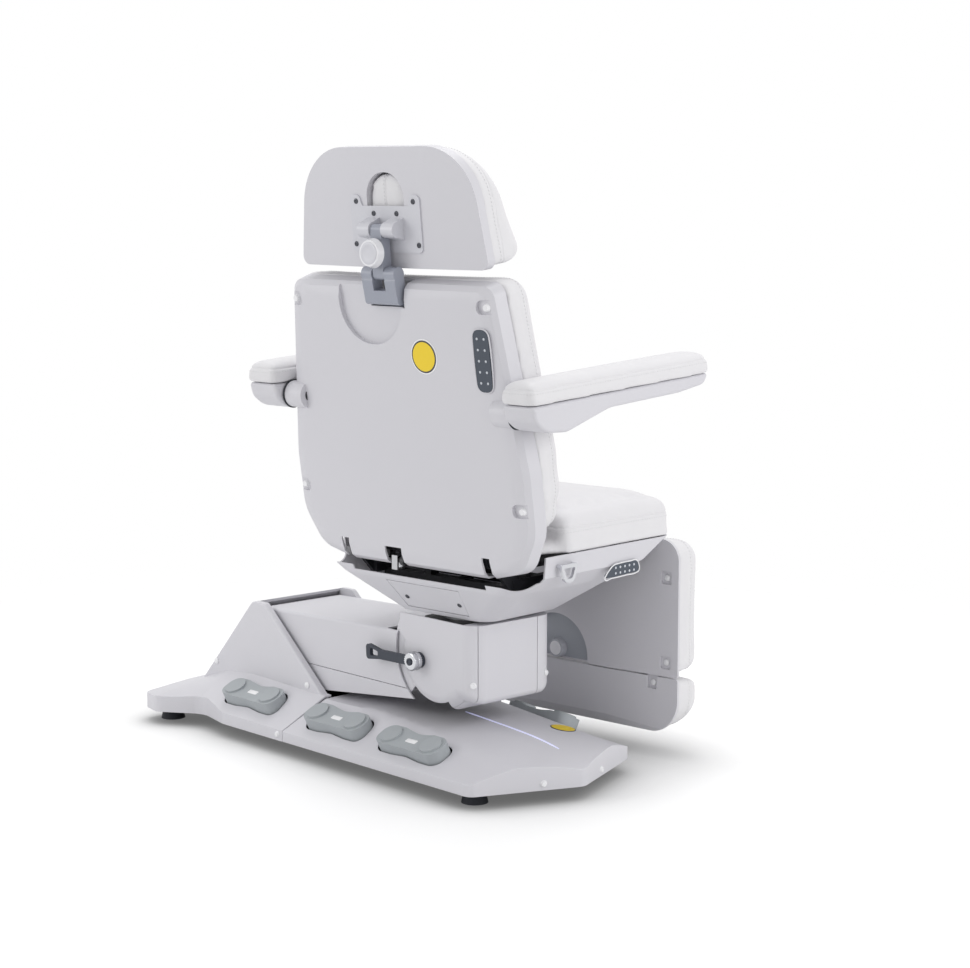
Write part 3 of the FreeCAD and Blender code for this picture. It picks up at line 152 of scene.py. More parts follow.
def lamp(name, place, aim, size, power):
    """Square soft box at a place, aimed at a point."""
    box = bpy.data.objects.new(name, bpy.data.lights.new(name, "AREA"))
    box.data.size = size
    box.data.energy = power
    box.location = place
    box.rotation_euler = (Vector(aim) - Vector(place)).to_track_quat("-Z", "Y").to_euler()
    bpy.context.scene.collection.objects.link(box)


lamp("top_box", (0.5, -0.5, 3.3), (0, 0, 0.3), 1.9, 27)
lamp("right_box", (-3.4, -0.6, 1.9), (0, 0, 0.7), 1.8, 35)
lamp("left_box", (1.9, 3.2, 2.0), (0, 0, 0.7), 1.8, 29)

# Moulded covers
# Vacuum formed and injection moulded ABS in a cool light grey, screwed over the steel frames.
# A fine spark texture makes it satin: broad soft highlights and no mirror reflections.
# Such a texture is finer than half a millimetre; it is drawn at 1.2 mm or more, so that it shows.
COVER_GREY = "D3D2D7"
COVER_GRAIN = 0.0012
COVER_EDGE = 0.003
TONE_DRIFT = 0.333
TONE_SHADE = "FBFBFC"
MOTTLE_GRAINS = 12


def moulded_abs(name, colour, roughness, grain):
    """Satin moulded plastic with a spark textured skin and slight tonal drift."""
    finish = blank(name)
    tree = finish.node_tree
    place = add(tree, "TexCoord", {}, {})
    drift = add(tree, "TexNoise", {"Scale": 1 / TONE_DRIFT, "Detail": 3.0},
                {"Vector": place.outputs["Object"]})
    mottle = add(tree, "TexNoise", {"Scale": 1 / (grain * MOTTLE_GRAINS), "Detail": 4.0},
                 {"Vector": place.outputs["Object"]})
    spark = add(tree, "TexNoise", {"Scale": 1 / grain, "Detail": 2.0}, {"Vector": place.outputs["Object"]})
    tint = add(tree, "MixRGB", {"blend_type": "MULTIPLY", "Color1": tone(colour), "Color2": tone(TONE_SHADE)},
               {"Fac": drift.outputs["Fac"]})
    rough = add(tree, "MapRange", {"To Min": roughness - 0.05, "To Max": roughness + 0.06},
                {"Value": mottle.outputs["Fac"]})
    skin = add(tree, "Bump", {"Strength": 0.12, "Distance": grain * 0.2}, {"Height": spark.outputs["Fac"]})
    body = add(tree, "BsdfPrincipled", {"IOR": 1.53},
               {"Base Color": tint.outputs["Color"], "Roughness": rough.outputs["Result"],
                "Normal": skin.outputs["Normal"]})
    add(tree, "OutputMaterial", {}, {"Surface": body.outputs["BSDF"]})
    return finish


cover_abs = moulded_abs("satin_abs_grey", COVER_GREY, 0.42, COVER_GRAIN)


def dress(name, finish, edge=0.0, angle=32.0, flat=None):
    """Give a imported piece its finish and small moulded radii.

    Faces larger than flat, in square metres, stay facets.
    """
    piece = nodes[name]
    piece.data.materials.clear()
    piece.data.materials.append(finish)
    smooth = [flat is None or face.area < flat for face in piece.data.polygons]
    piece.data.polygons.foreach_set("use_smooth", smooth)
    weld = piece.modifiers.new("weld", "WELD")
    weld.merge_threshold = 0.00002
    if edge:
        soften = piece.modifiers.new("edge", "BEVEL")
        soften.width = edge
        soften.segments = 3
        soften.limit_method = "ANGLE"
        soften.angle_limit = math.radians(angle)
        soften.use_clamp_overlap = True
    normals = piece.modifiers.new("normals", "WEIGHTED_NORMAL")
    normals.keep_sharp = False


for name in ("base_front_cover", "base_rear_cover"):
    dress(name, cover_abs, COVER_EDGE)

# Small turned pieces
# Screw caps, discs and collars are spun about their own axis and pressed on what carries them.
# The base stands turned under the seat, so its pieces are placed along the base's own axis.
BASE_TURN = Matrix.Rotation(math.radians(-95.0), 3, "Z")
TURN_STEPS = 48
OVERHEAD = 600
DOWN = Vector((0, 0, -1))


def on_base(x, y, z):
    """Point of the base in millimetres along its own axis, as a place in the scene."""
    return SWIVEL + BASE_TURN @ Vector((x, y, z)) / 1000


def on_seat(x, y, z):
    """Point of the seat in millimetres from the swivel axis, as a place in the scene."""
    return SWIVEL + Vector((x, y, z)) / 1000


def landed(node, start, way):
    """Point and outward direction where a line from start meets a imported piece."""
    points = [v.co for v in nodes[node].data.vertices]
    faces = [list(p.vertices) for p in nodes[node].data.polygons]
    spot, out, _, _ = BVHTree.FromPolygons(points, faces).ray_cast(start, way.normalized())
    return spot, (out if out.dot(way) < 0 else -out)


def made(name, body, finish, shape):
    """New piece from a finished shape, in its finish and riding on its body."""
    bmesh.ops.recalc_face_normals(shape, faces=shape.faces)
    mesh = bpy.data.meshes.new(name)
    shape.to_mesh(mesh)
    shape.free()
    mesh.materials.append(finish)
    mesh.polygons.foreach_set("use_smooth", [True] * len(mesh.polygons))
    piece = bpy.data.objects.new(name, mesh)
    bpy.context.scene.collection.objects.link(piece)
    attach(piece, body)
    return piece


def skinned(shape, rings, ends=True):
    """Join rings of vertices by faces, and close both ends if wanted."""
    for low, high in zip(rings, rings[1:]):
        for i in range(len(low)):
            j = (i + 1) % len(low)
            shape.faces.new((low[i], low[j], high[j], high[i]))
    if ends:
        shape.faces.new(rings[0])
        shape.faces.new(rings[-1])


def turned(name, body, finish, profile, places, teeth=0.0):
    """Spin a (radius, height) profile in millimetres about each (place, axis); teeth cuts a knurl."""
    shape = bmesh.new()
    for place, axis in places:
        axis = axis.normalized()
        across = axis.orthogonal().normalized()
        up = axis.cross(across)
        rings = []
        for radius, height in profile:
            ring = []
            for i in range(TURN_STEPS):
                angle = 2 * math.pi * i / TURN_STEPS
                reach = radius / 1000 * (1 - teeth * (i % 2))
                flat = across * math.cos(angle) + up * math.sin(angle)
                ring.append(shape.verts.new(place + axis * height / 1000 + flat * reach))
            rings.append(ring)
        skinned(shape, rings)
    piece = made(name, body, finish, shape)
    normals = piece.modifiers.new("normals", "WEIGHTED_NORMAL")
    normals.keep_sharp = False
    return piece


CAP_EDGE = 0.0008
CAP_DOME = [(7.6, -2.0), (7.6, 1.2), (7.0, 2.4), (5.4, 3.4), (3.0, 4.0), (0.6, 4.2)]
cap_abs = moulded_abs("gloss_abs_white", "EEEEF0", 0.26, 0.0016)
dress("base_caps", cap_abs, CAP_EDGE)
crease_spots = []
for x, y in ((-139, 748), (139, 748), (-139, 404), (139, 404)):
    crease_spots.append(landed("base_rear_cover", on_base(x, y, OVERHEAD), DOWN))
turned("base_crease_caps", "base", cap_abs, CAP_DOME, crease_spots)

# Light strip and deck disc
# A frosted polycarbonate rod glows pale violet in a groove along the middle of the front deck.
# The plain yellow vinyl disc with a dark edge sits beside it on the left of the deck.
STRIP_HALF = 0.0026
STRIP_RISE = 0.0014
STRIP_START = 30
STRIP_PITCH = 20.5
STRIP_STEPS = 15
STRIP_SECTION = ((-1, -1.0), (-1, 0.2), (-0.6, 0.8), (0, 1.0), (0.6, 0.8), (1, 0.2), (1, -1.0))
FROST_SIZE = 0.025
shape = bmesh.new()
sideways = BASE_TURN @ Vector((1, 0, 0))
sections = []
for step in range(STRIP_STEPS):
    spot, _ = landed("base_front_cover", on_base(0, STRIP_START - STRIP_PITCH * step, OVERHEAD), DOWN)
    half = STRIP_HALF * (0.35 if step in (0, STRIP_STEPS - 1) else 1.0)
    section = []
    for u, v in STRIP_SECTION:
        section.append(shape.verts.new(spot + sideways * half * u + Vector((0, 0, STRIP_RISE * v))))
    sections.append(section)
skinned(shape, sections)
frosted = blank("frosted_polycarbonate")
tree = frosted.node_tree
place = add(tree, "TexCoord", {}, {})
haze = add(tree, "TexNoise", {"Scale": 1 / FROST_SIZE, "Detail": 2.0}, {"Vector": place.outputs["Object"]})
glow = add(tree, "MapRange", {"To Min": 0.30, "To Max": 0.42}, {"Value": haze.outputs["Fac"]})
rod = add(tree, "BsdfPrincipled",
          {"Base Color": tone("D9DBF6"), "Roughness": 0.35, "IOR": 1.58, "Emission Color": tone("C9CCF8")},
          {"Emission Strength": glow.outputs["Result"]})
add(tree, "OutputMaterial", {}, {"Surface": rod.outputs["BSDF"]})
made("light_strip", "base", frosted, shape)

yellow_vinyl = moulded_abs("printed_vinyl_yellow", "F0D024", 0.38, 0.0022)
edge_vinyl = moulded_abs("printed_vinyl_dark", "3A3B40", 0.45, 0.0022)
DISC_SEAT = [(27.5, -2.0), (27.5, 0.5), (27.1, 0.8), (1.0, 0.8)]
DISC_FACE = [(25.6, 0.2), (25.6, 1.0), (25.2, 1.3), (1.0, 1.3)]
deck_spot = [landed("base_front_cover", on_base(110, -157, OVERHEAD), DOWN)]
turned("deck_disc_edge", "base", edge_vinyl, DISC_SEAT, deck_spot)
turned("deck_disc", "base", yellow_vinyl, DISC_FACE, deck_spot)

# Levelling feet
# Moulded dark rubber discs pressed on zinc studs, which screw into the base frame.
# The rubber is dusty and scatters light with no clear highlight.
foot_rubber = moulded_abs("moulded_rubber_navy", "2E3138", 0.72, 0.0018)
dress("levelling_feet", foot_rubber, 0.0025)

# Foot pedals
# Rocker pedals of grey soft-touch elastomer over a steel bar, with two round pads and a dished middle.
# A bare white plate is bonded in the middle of each. Soft-touch skin gives a very broad dull sheen.
PEDAL_TILT = math.radians(26.0)
PEDAL_SPOTS = {"front": (-14, 86), "middle": (234, 91), "rear": (536, 96)}
PEDAL_SIDE = 186
PEDAL_RISE = 0.0131
PLATE_HALF = (0.016, 0.0058)
PLATE_ROUND = 0.0025
pedal_skin = moulded_abs("soft_touch_elastomer_grey", "A7ACAF", 0.55, 0.0014)
plate_abs = moulded_abs("label_plate_white", "F2F2F3", 0.35, 0.002)


def plaque(name, body, finish, rim, out, thick):
    """Thin plate with a broken edge inside an outline of places, flat on a surface."""
    middle = sum(rim, Vector()) / len(rim)
    shape = bmesh.new()
    rings = []
    for share, height in ((1.0, -thick), (1.0, thick * 0.6), (0.97, thick)):
        rings.append([shape.verts.new(middle + (spot - middle) * share + out * height) for spot in rim])
    skinned(shape, rings)
    return made(name, body, finish, shape)


for hand, turn in (("right", -1), ("left", 1)):
    for row, (y, z) in PEDAL_SPOTS.items():
        name = "pedal_" + hand + "_" + row
        dress(name, pedal_skin, 0.003, 40.0)
        out = BASE_TURN @ Vector((turn * math.sin(PEDAL_TILT), 0, math.cos(PEDAL_TILT)))
        spot = on_base(turn * PEDAL_SIDE, y, z) + out * PEDAL_RISE
        along = BASE_TURN @ Vector((0, 1, 0))
        wide = out.cross(along)
        rim = []
        for cx, cy, start in ((1, 1, 0), (-1, 1, 90), (-1, -1, 180), (1, -1, 270)):
            for i in range(7):
                angle = math.radians(start + 15 * i)
                u = cx * (PLATE_HALF[0] - PLATE_ROUND) + PLATE_ROUND * math.cos(angle)
                v = cy * (PLATE_HALF[1] - PLATE_ROUND) + PLATE_ROUND * math.sin(angle)
                rim.append(spot + along * u + wide * v)
        plaque(name + "_plate", name, plate_abs, rim, out, 0.0008)

# Frames and lift mechanism
# Welded mild steel, blasted and powder coated black; the coat has a fine orange peel and a soft gloss.
# Pins, rods and rails are ground steel, left bright, and the actuators are black moulded nylon.
POWDER_PEEL = 0.0035
GRIND_LINE = 0.0009
DUST_SIZE = 0.111
DUST_SHADE = "F6F6F7"
SMEAR_SIZE = 0.0714


def powder_coat(name, colour, roughness):
    """Sprayed paint on steel with an orange peel skin."""
    finish = blank(name)
    tree = finish.node_tree
    place = add(tree, "TexCoord", {}, {})
    peel = add(tree, "TexNoise", {"Scale": 1 / POWDER_PEEL, "Detail": 2.0},
               {"Vector": place.outputs["Object"]})
    dust = add(tree, "TexNoise", {"Scale": 1 / DUST_SIZE, "Detail": 4.0}, {"Vector": place.outputs["Object"]})
    tint = add(tree, "MixRGB", {"blend_type": "MULTIPLY", "Color1": tone(colour), "Color2": tone(DUST_SHADE)},
               {"Fac": dust.outputs["Fac"]})
    rough = add(tree, "MapRange", {"To Min": roughness - 0.06, "To Max": roughness + 0.08},
                {"Value": dust.outputs["Fac"]})
    skin = add(tree, "Bump", {"Strength": 0.18, "Distance": 0.0004}, {"Height": peel.outputs["Fac"]})
    coat = add(tree, "BsdfPrincipled", {"IOR": 1.5, "Coat Weight": 0.2, "Coat Roughness": 0.25},
               {"Base Color": tint.outputs["Color"], "Roughness": rough.outputs["Result"],
                "Normal": skin.outputs["Normal"]})
    add(tree, "OutputMaterial", {}, {"Surface": coat.outputs["BSDF"]})
    return finish


def ground_steel(name, colour, roughness):
    """Bright steel with fine grinding lines round and along the bar."""
    finish = blank(name)
    tree = finish.node_tree
    place = add(tree, "TexCoord", {}, {})
    stretch = add(tree, "Mapping", {"Scale": (0.08, 1.0, 1.0)}, {"Vector": place.outputs["Object"]})
    lines = add(tree, "TexNoise", {"Scale": 1 / GRIND_LINE, "Detail": 3.0},
                {"Vector": stretch.outputs["Vector"]})
    smear = add(tree, "TexNoise", {"Scale": 1 / SMEAR_SIZE, "Detail": 3.0},
                {"Vector": place.outputs["Object"]})
    rough = add(tree, "MapRange", {"To Min": roughness - 0.06, "To Max": roughness + 0.1},
                {"Value": smear.outputs["Fac"]})
    skin = add(tree, "Bump", {"Strength": 0.1, "Distance": 0.0002}, {"Height": lines.outputs["Fac"]})
    steel = add(tree, "BsdfPrincipled", {"Base Color": tone(colour), "Metallic": 1.0},
                {"Roughness": rough.outputs["Result"], "Normal": skin.outputs["Normal"]})
    add(tree, "OutputMaterial", {}, {"Surface": steel.outputs["BSDF"]})
    return finish


frame_black = powder_coat("powder_coated_steel_black", "2A2B30", 0.45)
bright_steel = ground_steel("ground_steel_bright", "BDBEC1", 0.3)
motor_nylon = moulded_abs("moulded_nylon_black", "1D1E21", 0.5, 0.0014)
for name in ("base_frame", "arm_frame", "parallel_links", "head_frame", "seat_frame", "backrest_frame",
             "legrest_frame"):
    dress(name, frame_black, 0.001)
for name in ("tower_pins", "lift_actuator_rod", "swivel_bearing", "recline_rod", "leg_rod", "rail_guides",
             "footrest_rails"):
    dress(name, bright_steel, 0.0006)
for name in ("control_box", "lift_actuator_tube", "recline_actuator_tube", "leg_actuator_tube"):
    dress(name, motor_nylon, 0.0015)

# Lift arm and head covers
# The same satin moulding as the base, in halves that meet on a fine seam over the lift arm and head.
# White caps close the screw holes at the head's corners.
# Thin flanges on both bodies close the joint between them as the arm lifts.
for name in ("arm_upper_cover", "arm_lower_cover", "head_right_cover", "head_front_cover", "head_left_cover"):
    dress(name, cover_abs, COVER_EDGE)
dress("head_caps", cap_abs, CAP_EDGE)
FLANGE_ARCS = ((136, range(-48, 31, 3)), (84, range(30, -49, -3)))
FLANGE_SIDES = {"head": 106.0, "lift_arm": 103.4}
FLANGE_THICK = 0.0009
HEAD_PIVOT_HEIGHT = 268
for body, half in FLANGE_SIDES.items():
    for hand, turn in (("right", -1), ("left", 1)):
        flange_rim = []
        for radius, angles in FLANGE_ARCS:
            for degrees in angles:
                angle = math.radians(degrees)
                height = HEAD_PIVOT_HEIGHT + radius * math.sin(angle)
                flange_rim.append(on_base(turn * half, radius * math.cos(angle), height))
        plaque(body + "_" + hand + "_flange", body, cover_abs, flange_rim,
               BASE_TURN @ Vector((turn, 0, 0)), FLANGE_THICK)

# Swivel lock lever
# A dark glass-filled nylon paddle on a hub beside the head, under a serrated chrome collar and a bolt.
# Nylon is dull with a fine fibre grain; the chrome mirrors the studio in bands.
lever_nylon = moulded_abs("glass_filled_nylon_navy", "2C323E", 0.48, 0.0012)
dress("swivel_lever", lever_nylon, 0.0018)
chrome = ground_steel("chromed_brass", "D5D6DA", 0.14)
outward = BASE_TURN @ Vector((-1, 0, 0))
COLLAR = [(16.0, 0.0), (19.0, 0.5), (20.0, 1.8), (20.0, 8.0), (18.6, 9.4), (18.6, 10.4), (20.0, 11.8),
          (20.0, 19.0), (18.6, 20.6), (13.0, 21.2)]
COLLAR_TEETH = 0.1
turned("lever_collar", "swivel_lever", chrome, COLLAR,
       [(on_base(-124, 46, 250), outward)], COLLAR_TEETH)
HUB_BOLT = [(8.0, 0.0), (8.0, 2.6), (7.0, 3.6), (4.6, 4.0), (4.2, 2.4), (0.8, 2.2)]
turned("lever_bolt", "swivel_lever", lever_nylon, HUB_BOLT, [(on_base(-144.6, 46, 250), outward)])

# Seat shell and service panel
# A faceted satin moulding screwed round the seat frame, closed behind by a panel on two dark screws.
# A wire loop of satin chromed steel hangs on its right side.
REARWARD = Vector((0, 1, 0))
dress("seat_shell", cover_abs, COVER_EDGE)
dress("seat_rear_panel", cover_abs, 0.0012)
dress("hanging_loop", chrome, 0.0015)
screw_steel = ground_steel("blackened_steel_screw", "56575C", 0.36)
SCREW = [(5.4, -1.5), (5.4, 0.8), (4.8, 1.7), (3.2, 2.1), (2.4, 2.1), (2.1, 0.6), (0.5, 0.6)]
panel_spots = [landed("seat_rear_panel", on_seat(x, 500, 388), -REARWARD) for x in (70, -80)]
turned("panel_screws", "seat", screw_steel, SCREW, panel_spots)

# Membrane keypads
# Dark polyester membrane over domed switches, in a slim raised rim; pale pips mark the switches.
# The film is smooth and glossy with a slight ripple over the domes.
keypad_film = moulded_abs("polyester_membrane_slate", "3E4652", 0.3, 0.0026)
pip_ink = moulded_abs("printed_pip_pale", "C9CDD4", 0.4, 0.002)
PIP = [(2.6, -0.6), (2.6, 0.3), (2.2, 0.6), (0.4, 0.7)]
dress("side_keypad", keypad_film, 0.0008)
dress("back_keypad", keypad_film, 0.0008)


def bezel(name, body, finish, corners, radius):
    """Raised rim that follows the outline of a keypad."""
    line = bpy.data.curves.new(name, "CURVE")
    line.dimensions = "3D"
    line.bevel_depth = radius
    line.bevel_resolution = 3
    spline = line.splines.new("BEZIER")
    spline.bezier_points.add(len(corners) - 1)
    for point, corner in zip(spline.bezier_points, corners):
        point.co = corner
        point.handle_left_type = "AUTO"
        point.handle_right_type = "AUTO"
    spline.use_cyclic_u = True
    line.materials.append(finish)
    piece = bpy.data.objects.new(name, line)
    bpy.context.scene.collection.objects.link(piece)
    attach(piece, body)


SIDE_KEYS = [(-77, 440.5), (-100, 439.5), (-150, 440.5), (-180, 441.5), (-190, 446), (-189, 458),
             (-181, 467.5), (-160, 468.5), (-125, 468), (-106, 466), (-93, 458), (-80, 446)]
bezel("side_keypad_bezel", "seat", cap_abs, [on_seat(-292.8, y, z) for y, z in SIDE_KEYS], 0.0014)
side_pips = []
for i in range(5):
    for j in range(2):
        side_pips.append((on_seat(-293.6, -112 - 15 * i, 448.5 + 11.5 * j), Vector((-1, 0, 0))))
turned("side_keypad_pips", "seat", pip_ink, PIP, side_pips)
BACK_LEAN = Matrix.Rotation(math.radians(-8.5), 3, "X")


def on_back(x, y, z):
    """Point of the upright backrest in millimetres, leaned back about the recline hinge."""
    hinge = Vector((0, 150, 498))
    return SWIVEL + (hinge + BACK_LEAN @ (Vector((x, y, z)) - hinge)) / 1000


KEY_CORNER = 16.5
BACK_KEYS = []
for cx, cz, turn in ((-1, 1, 90), (-1, -1, 180), (1, -1, 270), (1, 1, 0)):
    for i in range(4):
        angle = math.radians(turn + 30 * i)
        x = -252 + cx * 5 + KEY_CORNER * math.cos(angle)
        z = 918 + cz * 46.5 + KEY_CORNER * math.sin(angle)
        BACK_KEYS.append(on_back(x, 187.4, z))
bezel("back_keypad_bezel", "backrest", cover_abs, BACK_KEYS, 0.0015)
BACK_REST_WAY = BACK_LEAN @ REARWARD
back_pips = []
for i in range(2):
    for j in range(5):
        back_pips.append((on_back(-261 + 18 * i, 189.1, 874 + 22 * j), BACK_REST_WAY))
turned("back_keypad_pips", "backrest", pip_ink, PIP, back_pips)

# Seat cushion
# Polyurethane foam on a plywood board, covered in soft white vinyl with a pebbled grain and a low sheen.
# The cover is sewn from panels; a seam with a row of top stitches runs round below the top edge.
# The pebbles of such a vinyl are about 1 mm wide; they are drawn at 2.2 mm, so that they show.
PAD_VOXEL = 0.006
PAD_SINK = 0.001
PAD_CALM = 6
PAD_PRESSURE = 4.0
CLOTH_FRAMES = 20
HELD_DEPTH = 0.006
FREE_DEPTH = 0.026
SEAM_WIDTH = 0.0035
SEAM_DEPTH = 0.0022
STITCH_PITCH = 0.0075
STITCH_LENGTH = 0.005
STITCH_RADIUS = 0.00055
STITCH_BOW = ((-0.5, -1.0, 0.6), (-0.3, 0.0, 1.0), (0.0, 0.4, 1.0), (0.3, 0.0, 1.0), (0.5, -1.0, 0.6))
STITCH_SIDES = 6
PEBBLE_SIZE = 0.0022
CRUSH_SIZE = 0.0357
VINYL_WHITE = "E1E0E2"
VINYL_SHADE = "FAFAFB"
soft_vinyl = blank("soft_vinyl_white")
tree = soft_vinyl.node_tree
place = add(tree, "TexCoord", {}, {})
pebble = add(tree, "TexVoronoi", {"Scale": 1 / PEBBLE_SIZE, "feature": "SMOOTH_F1"},
             {"Vector": place.outputs["Object"]})
crush = add(tree, "TexNoise", {"Scale": 1 / CRUSH_SIZE, "Detail": 4.0}, {"Vector": place.outputs["Object"]})
tint = add(tree, "MixRGB",
           {"blend_type": "MULTIPLY", "Color1": tone(VINYL_WHITE), "Color2": tone(VINYL_SHADE)},
           {"Fac": crush.outputs["Fac"]})
rough = add(tree, "MapRange", {"To Min": 0.46, "To Max": 0.58}, {"Value": crush.outputs["Fac"]})
leather = add(tree, "Bump", {"Strength": 0.2, "Distance": 0.0004}, {"Height": pebble.outputs["Distance"]})
skin = add(tree, "Bump", {"Strength": 0.14, "Distance": 0.001},
           {"Height": crush.outputs["Fac"], "Normal": leather.outputs["Normal"]})
vinyl = add(tree, "BsdfPrincipled", {"IOR": 1.48, "Sheen Weight": 0.06},
            {"Base Color": tint.outputs["Color"], "Roughness": rough.outputs["Result"],
             "Normal": skin.outputs["Normal"]})
add(tree, "OutputMaterial", {}, {"Surface": vinyl.outputs["BSDF"]})
thread = moulded_abs("polyester_thread_white", "DCDCDD", 0.6, 0.0012)


def settle(piece):
    """Turn a piece's modifiers into its own mesh."""
    graph = bpy.context.evaluated_depsgraph_get()
    mesh = bpy.data.meshes.new_from_object(piece.evaluated_get(graph))
    piece.modifiers.clear()
    piece.data = mesh


def coordinates(mesh, kind="co"):
    """Places or normals of a mesh's vertices as rows."""
    values = np.empty(len(mesh.vertices) * 3, dtype=np.float32)
    if kind == "co":
        mesh.vertices.foreach_get("co", values)
    else:
        mesh.vertex_normals.foreach_get("vector", values)
    return values.reshape(-1, 3).astype(float)


def vinyl_pad(node, body, rest, shrink, cap, grow=(0.0, 0.0), rounding=6):
    """Stuffed cover in place of a packed cushion: remeshed, drawn in, blown up by a cloth simulation, capped.

    The cushion is flat where it lies towards rest. Grow is how much fuller it is sideways and at its free
    face, and rounding is the number of smoothing passes that soften its edges.
    """
    mesh = nodes[node].data.copy()
    mesh.materials.clear()
    piece = bpy.data.objects.new(node + "_cover", mesh)
    bpy.context.scene.collection.objects.link(piece)
    grid = piece.modifiers.new("grid", "REMESH")
    grid.mode = "VOXEL"
    grid.voxel_size = PAD_VOXEL
    settle(piece)
    rest = np.array(rest, dtype=float)
    points = coordinates(piece.data)
    depth = (points @ rest).max() - points @ rest
    free = np.ones(len(points))
    if rest.any():
        free = np.clip((depth - HELD_DEPTH) / (FREE_DEPTH - HELD_DEPTH), 0.0, 1.0)
    middle = (points[:, 0].max() + points[:, 0].min()) / 2
    half = (points[:, 0].max() - points[:, 0].min()) / 2
    points[:, 0] += (points[:, 0] - middle) / half * grow[0]
    points -= rest * (depth / max(depth.max(), 1e-6) * grow[1])[:, None]
    piece.data.vertices.foreach_set("co", points.astype(np.float32).ravel())
    held = piece.vertex_groups.new(name="held")
    loose = piece.vertex_groups.new(name="loose")
    for i, share in enumerate(free):
        held.add([i], 1.0 - share, "REPLACE")
        loose.add([i], share, "REPLACE")
    even = piece.modifiers.new("even", "SMOOTH")
    even.factor = 0.5
    even.iterations = rounding
    even.vertex_group = "loose"
    settle(piece)
    outward = coordinates(piece.data, "normal")
    start = coordinates(piece.data) - outward * (free * shrink)[:, None]
    piece.data.vertices.foreach_set("co", start.astype(np.float32).ravel())
    piece.data.update()
    cloth = piece.modifiers.new("cloth", "CLOTH")
    cloth.settings.quality = 4
    cloth.settings.mass = 0.3
    cloth.settings.use_pressure = True
    cloth.settings.uniform_pressure_force = PAD_PRESSURE
    cloth.settings.effector_weights.gravity = 0.0
    cloth.settings.vertex_group_mass = "held"
    cloth.point_cache.frame_start = 1
    cloth.point_cache.frame_end = CLOTH_FRAMES
    for number in range(1, CLOTH_FRAMES + 1):
        bpy.context.scene.frame_set(number)
    settle(piece)
    bpy.context.scene.frame_set(1)
    moved = coordinates(piece.data) - start
    sunk = np.minimum((moved * outward).sum(axis=1) + PAD_SINK, 0.0)
    moved -= outward * sunk[:, None]
    length = np.linalg.norm(moved, axis=1)
    moved *= (cap * np.tanh(length / cap) / np.maximum(length, 1e-9))[:, None]
    piece.data.vertices.foreach_set("co", (start + moved).astype(np.float32).ravel())
    calm = piece.modifiers.new("calm", "SMOOTH")
    calm.factor = 0.5
    calm.iterations = PAD_CALM
    calm.vertex_group = "loose"
    settle(piece)
    piece.data.materials.clear()
    piece.data.materials.append(soft_vinyl)
    piece.data.polygons.foreach_set("use_smooth", [True] * len(piece.data.polygons))
    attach(piece, body)
    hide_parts(node)
    return piece


def cut_loop(shape, spot, way):
    """Insert a loop of edges where a plane cuts a shape, and return its longest run of vertices in order."""
    every = shape.verts[:] + shape.edges[:] + shape.faces[:]
    cut = bmesh.ops.bisect_plane(shape, geom=every, dist=1e-6, plane_co=spot, plane_no=way)["geom_cut"]
    beside = {}
    for edge in (e for e in cut if isinstance(e, bmesh.types.BMEdge)):
        beside.setdefault(edge.verts[0], []).append(edge.verts[1])
        beside.setdefault(edge.verts[1], []).append(edge.verts[0])
    longest = []
    left = set(beside)
    while left:
        run = [min(left, key=lambda v: v.index)]
        left.discard(run[0])
        while True:
            onward = [v for v in beside[run[-1]] if v in left]
            if not onward:
                break
            run.append(onward[0])
            left.discard(onward[0])
        longest = max(longest, run, key=len)
    return longest


def sewn(piece, body, spot, way, beside=0.008):
    """Press a seam into a cover where a plane cuts it, and lay a row of stitches beside the seam."""
    way = Vector(way).normalized()
    spot = Vector(spot)
    shape = bmesh.new()
    shape.from_mesh(piece.data)
    for offset in (-SEAM_WIDTH, SEAM_WIDTH):
        cut_loop(shape, spot + way * offset, way)
    shape.verts.index_update()
    seam = cut_loop(shape, spot, way)
    shape.normal_update()
    presses = [(vert, vert.normal.copy()) for vert in seam]
    for vert, out in presses:
        vert.co -= out * SEAM_DEPTH
    shape.verts.index_update()
    row = cut_loop(shape, spot + way * beside, way)
    shape.normal_update()
    line = [(vert.co.copy(), vert.normal.copy()) for vert in row]
    shape.to_mesh(piece.data)
    shape.free()
    stitches = bmesh.new()
    walked = 0.0
    due = 0.0
    for (here, out), (there, _) in zip(line, line[1:] + line[:1]):
        length = (there - here).length
        while due < walked + length and length > 1e-6:
            along = (there - here) / length
            centre = here + along * (due - walked) + out * STITCH_RADIUS * 0.4
            stitch(stitches, centre, along, out)
            due += STITCH_PITCH
        walked += length
    return made(piece.name + "_stitches", body, thread, stitches)


def stitch(shape, centre, along, out):
    """One stitch: a short thread that dives into the cover at both ends."""
    side = along.cross(out).normalized()
    rings = []
    for share, lift, size in STITCH_BOW:
        middle = centre + along * STITCH_LENGTH * share + out * STITCH_RADIUS * lift
        ring = []
        for i in range(STITCH_SIDES):
            angle = 2 * math.pi * i / STITCH_SIDES
            spoke = side * math.cos(angle) + out * math.sin(angle)
            ring.append(shape.verts.new(middle + spoke * STITCH_RADIUS * size))
        rings.append(ring)
    skinned(shape, rings)


def finished(piece):
    """Round a sewn cover with one subdivision."""
    rounder = piece.modifiers.new("rounder", "SUBSURF")
    rounder.levels = 1
    rounder.render_levels = 1


seat_cover = vinyl_pad("seat_cushion", "seat", (0, 0, -1), 0.004, 0.014, (0.006, 0.007), 22)
sewn(seat_cover, "seat", on_seat(0, 0, 558), (0, 0, 1), -0.008)
finished(seat_cover)

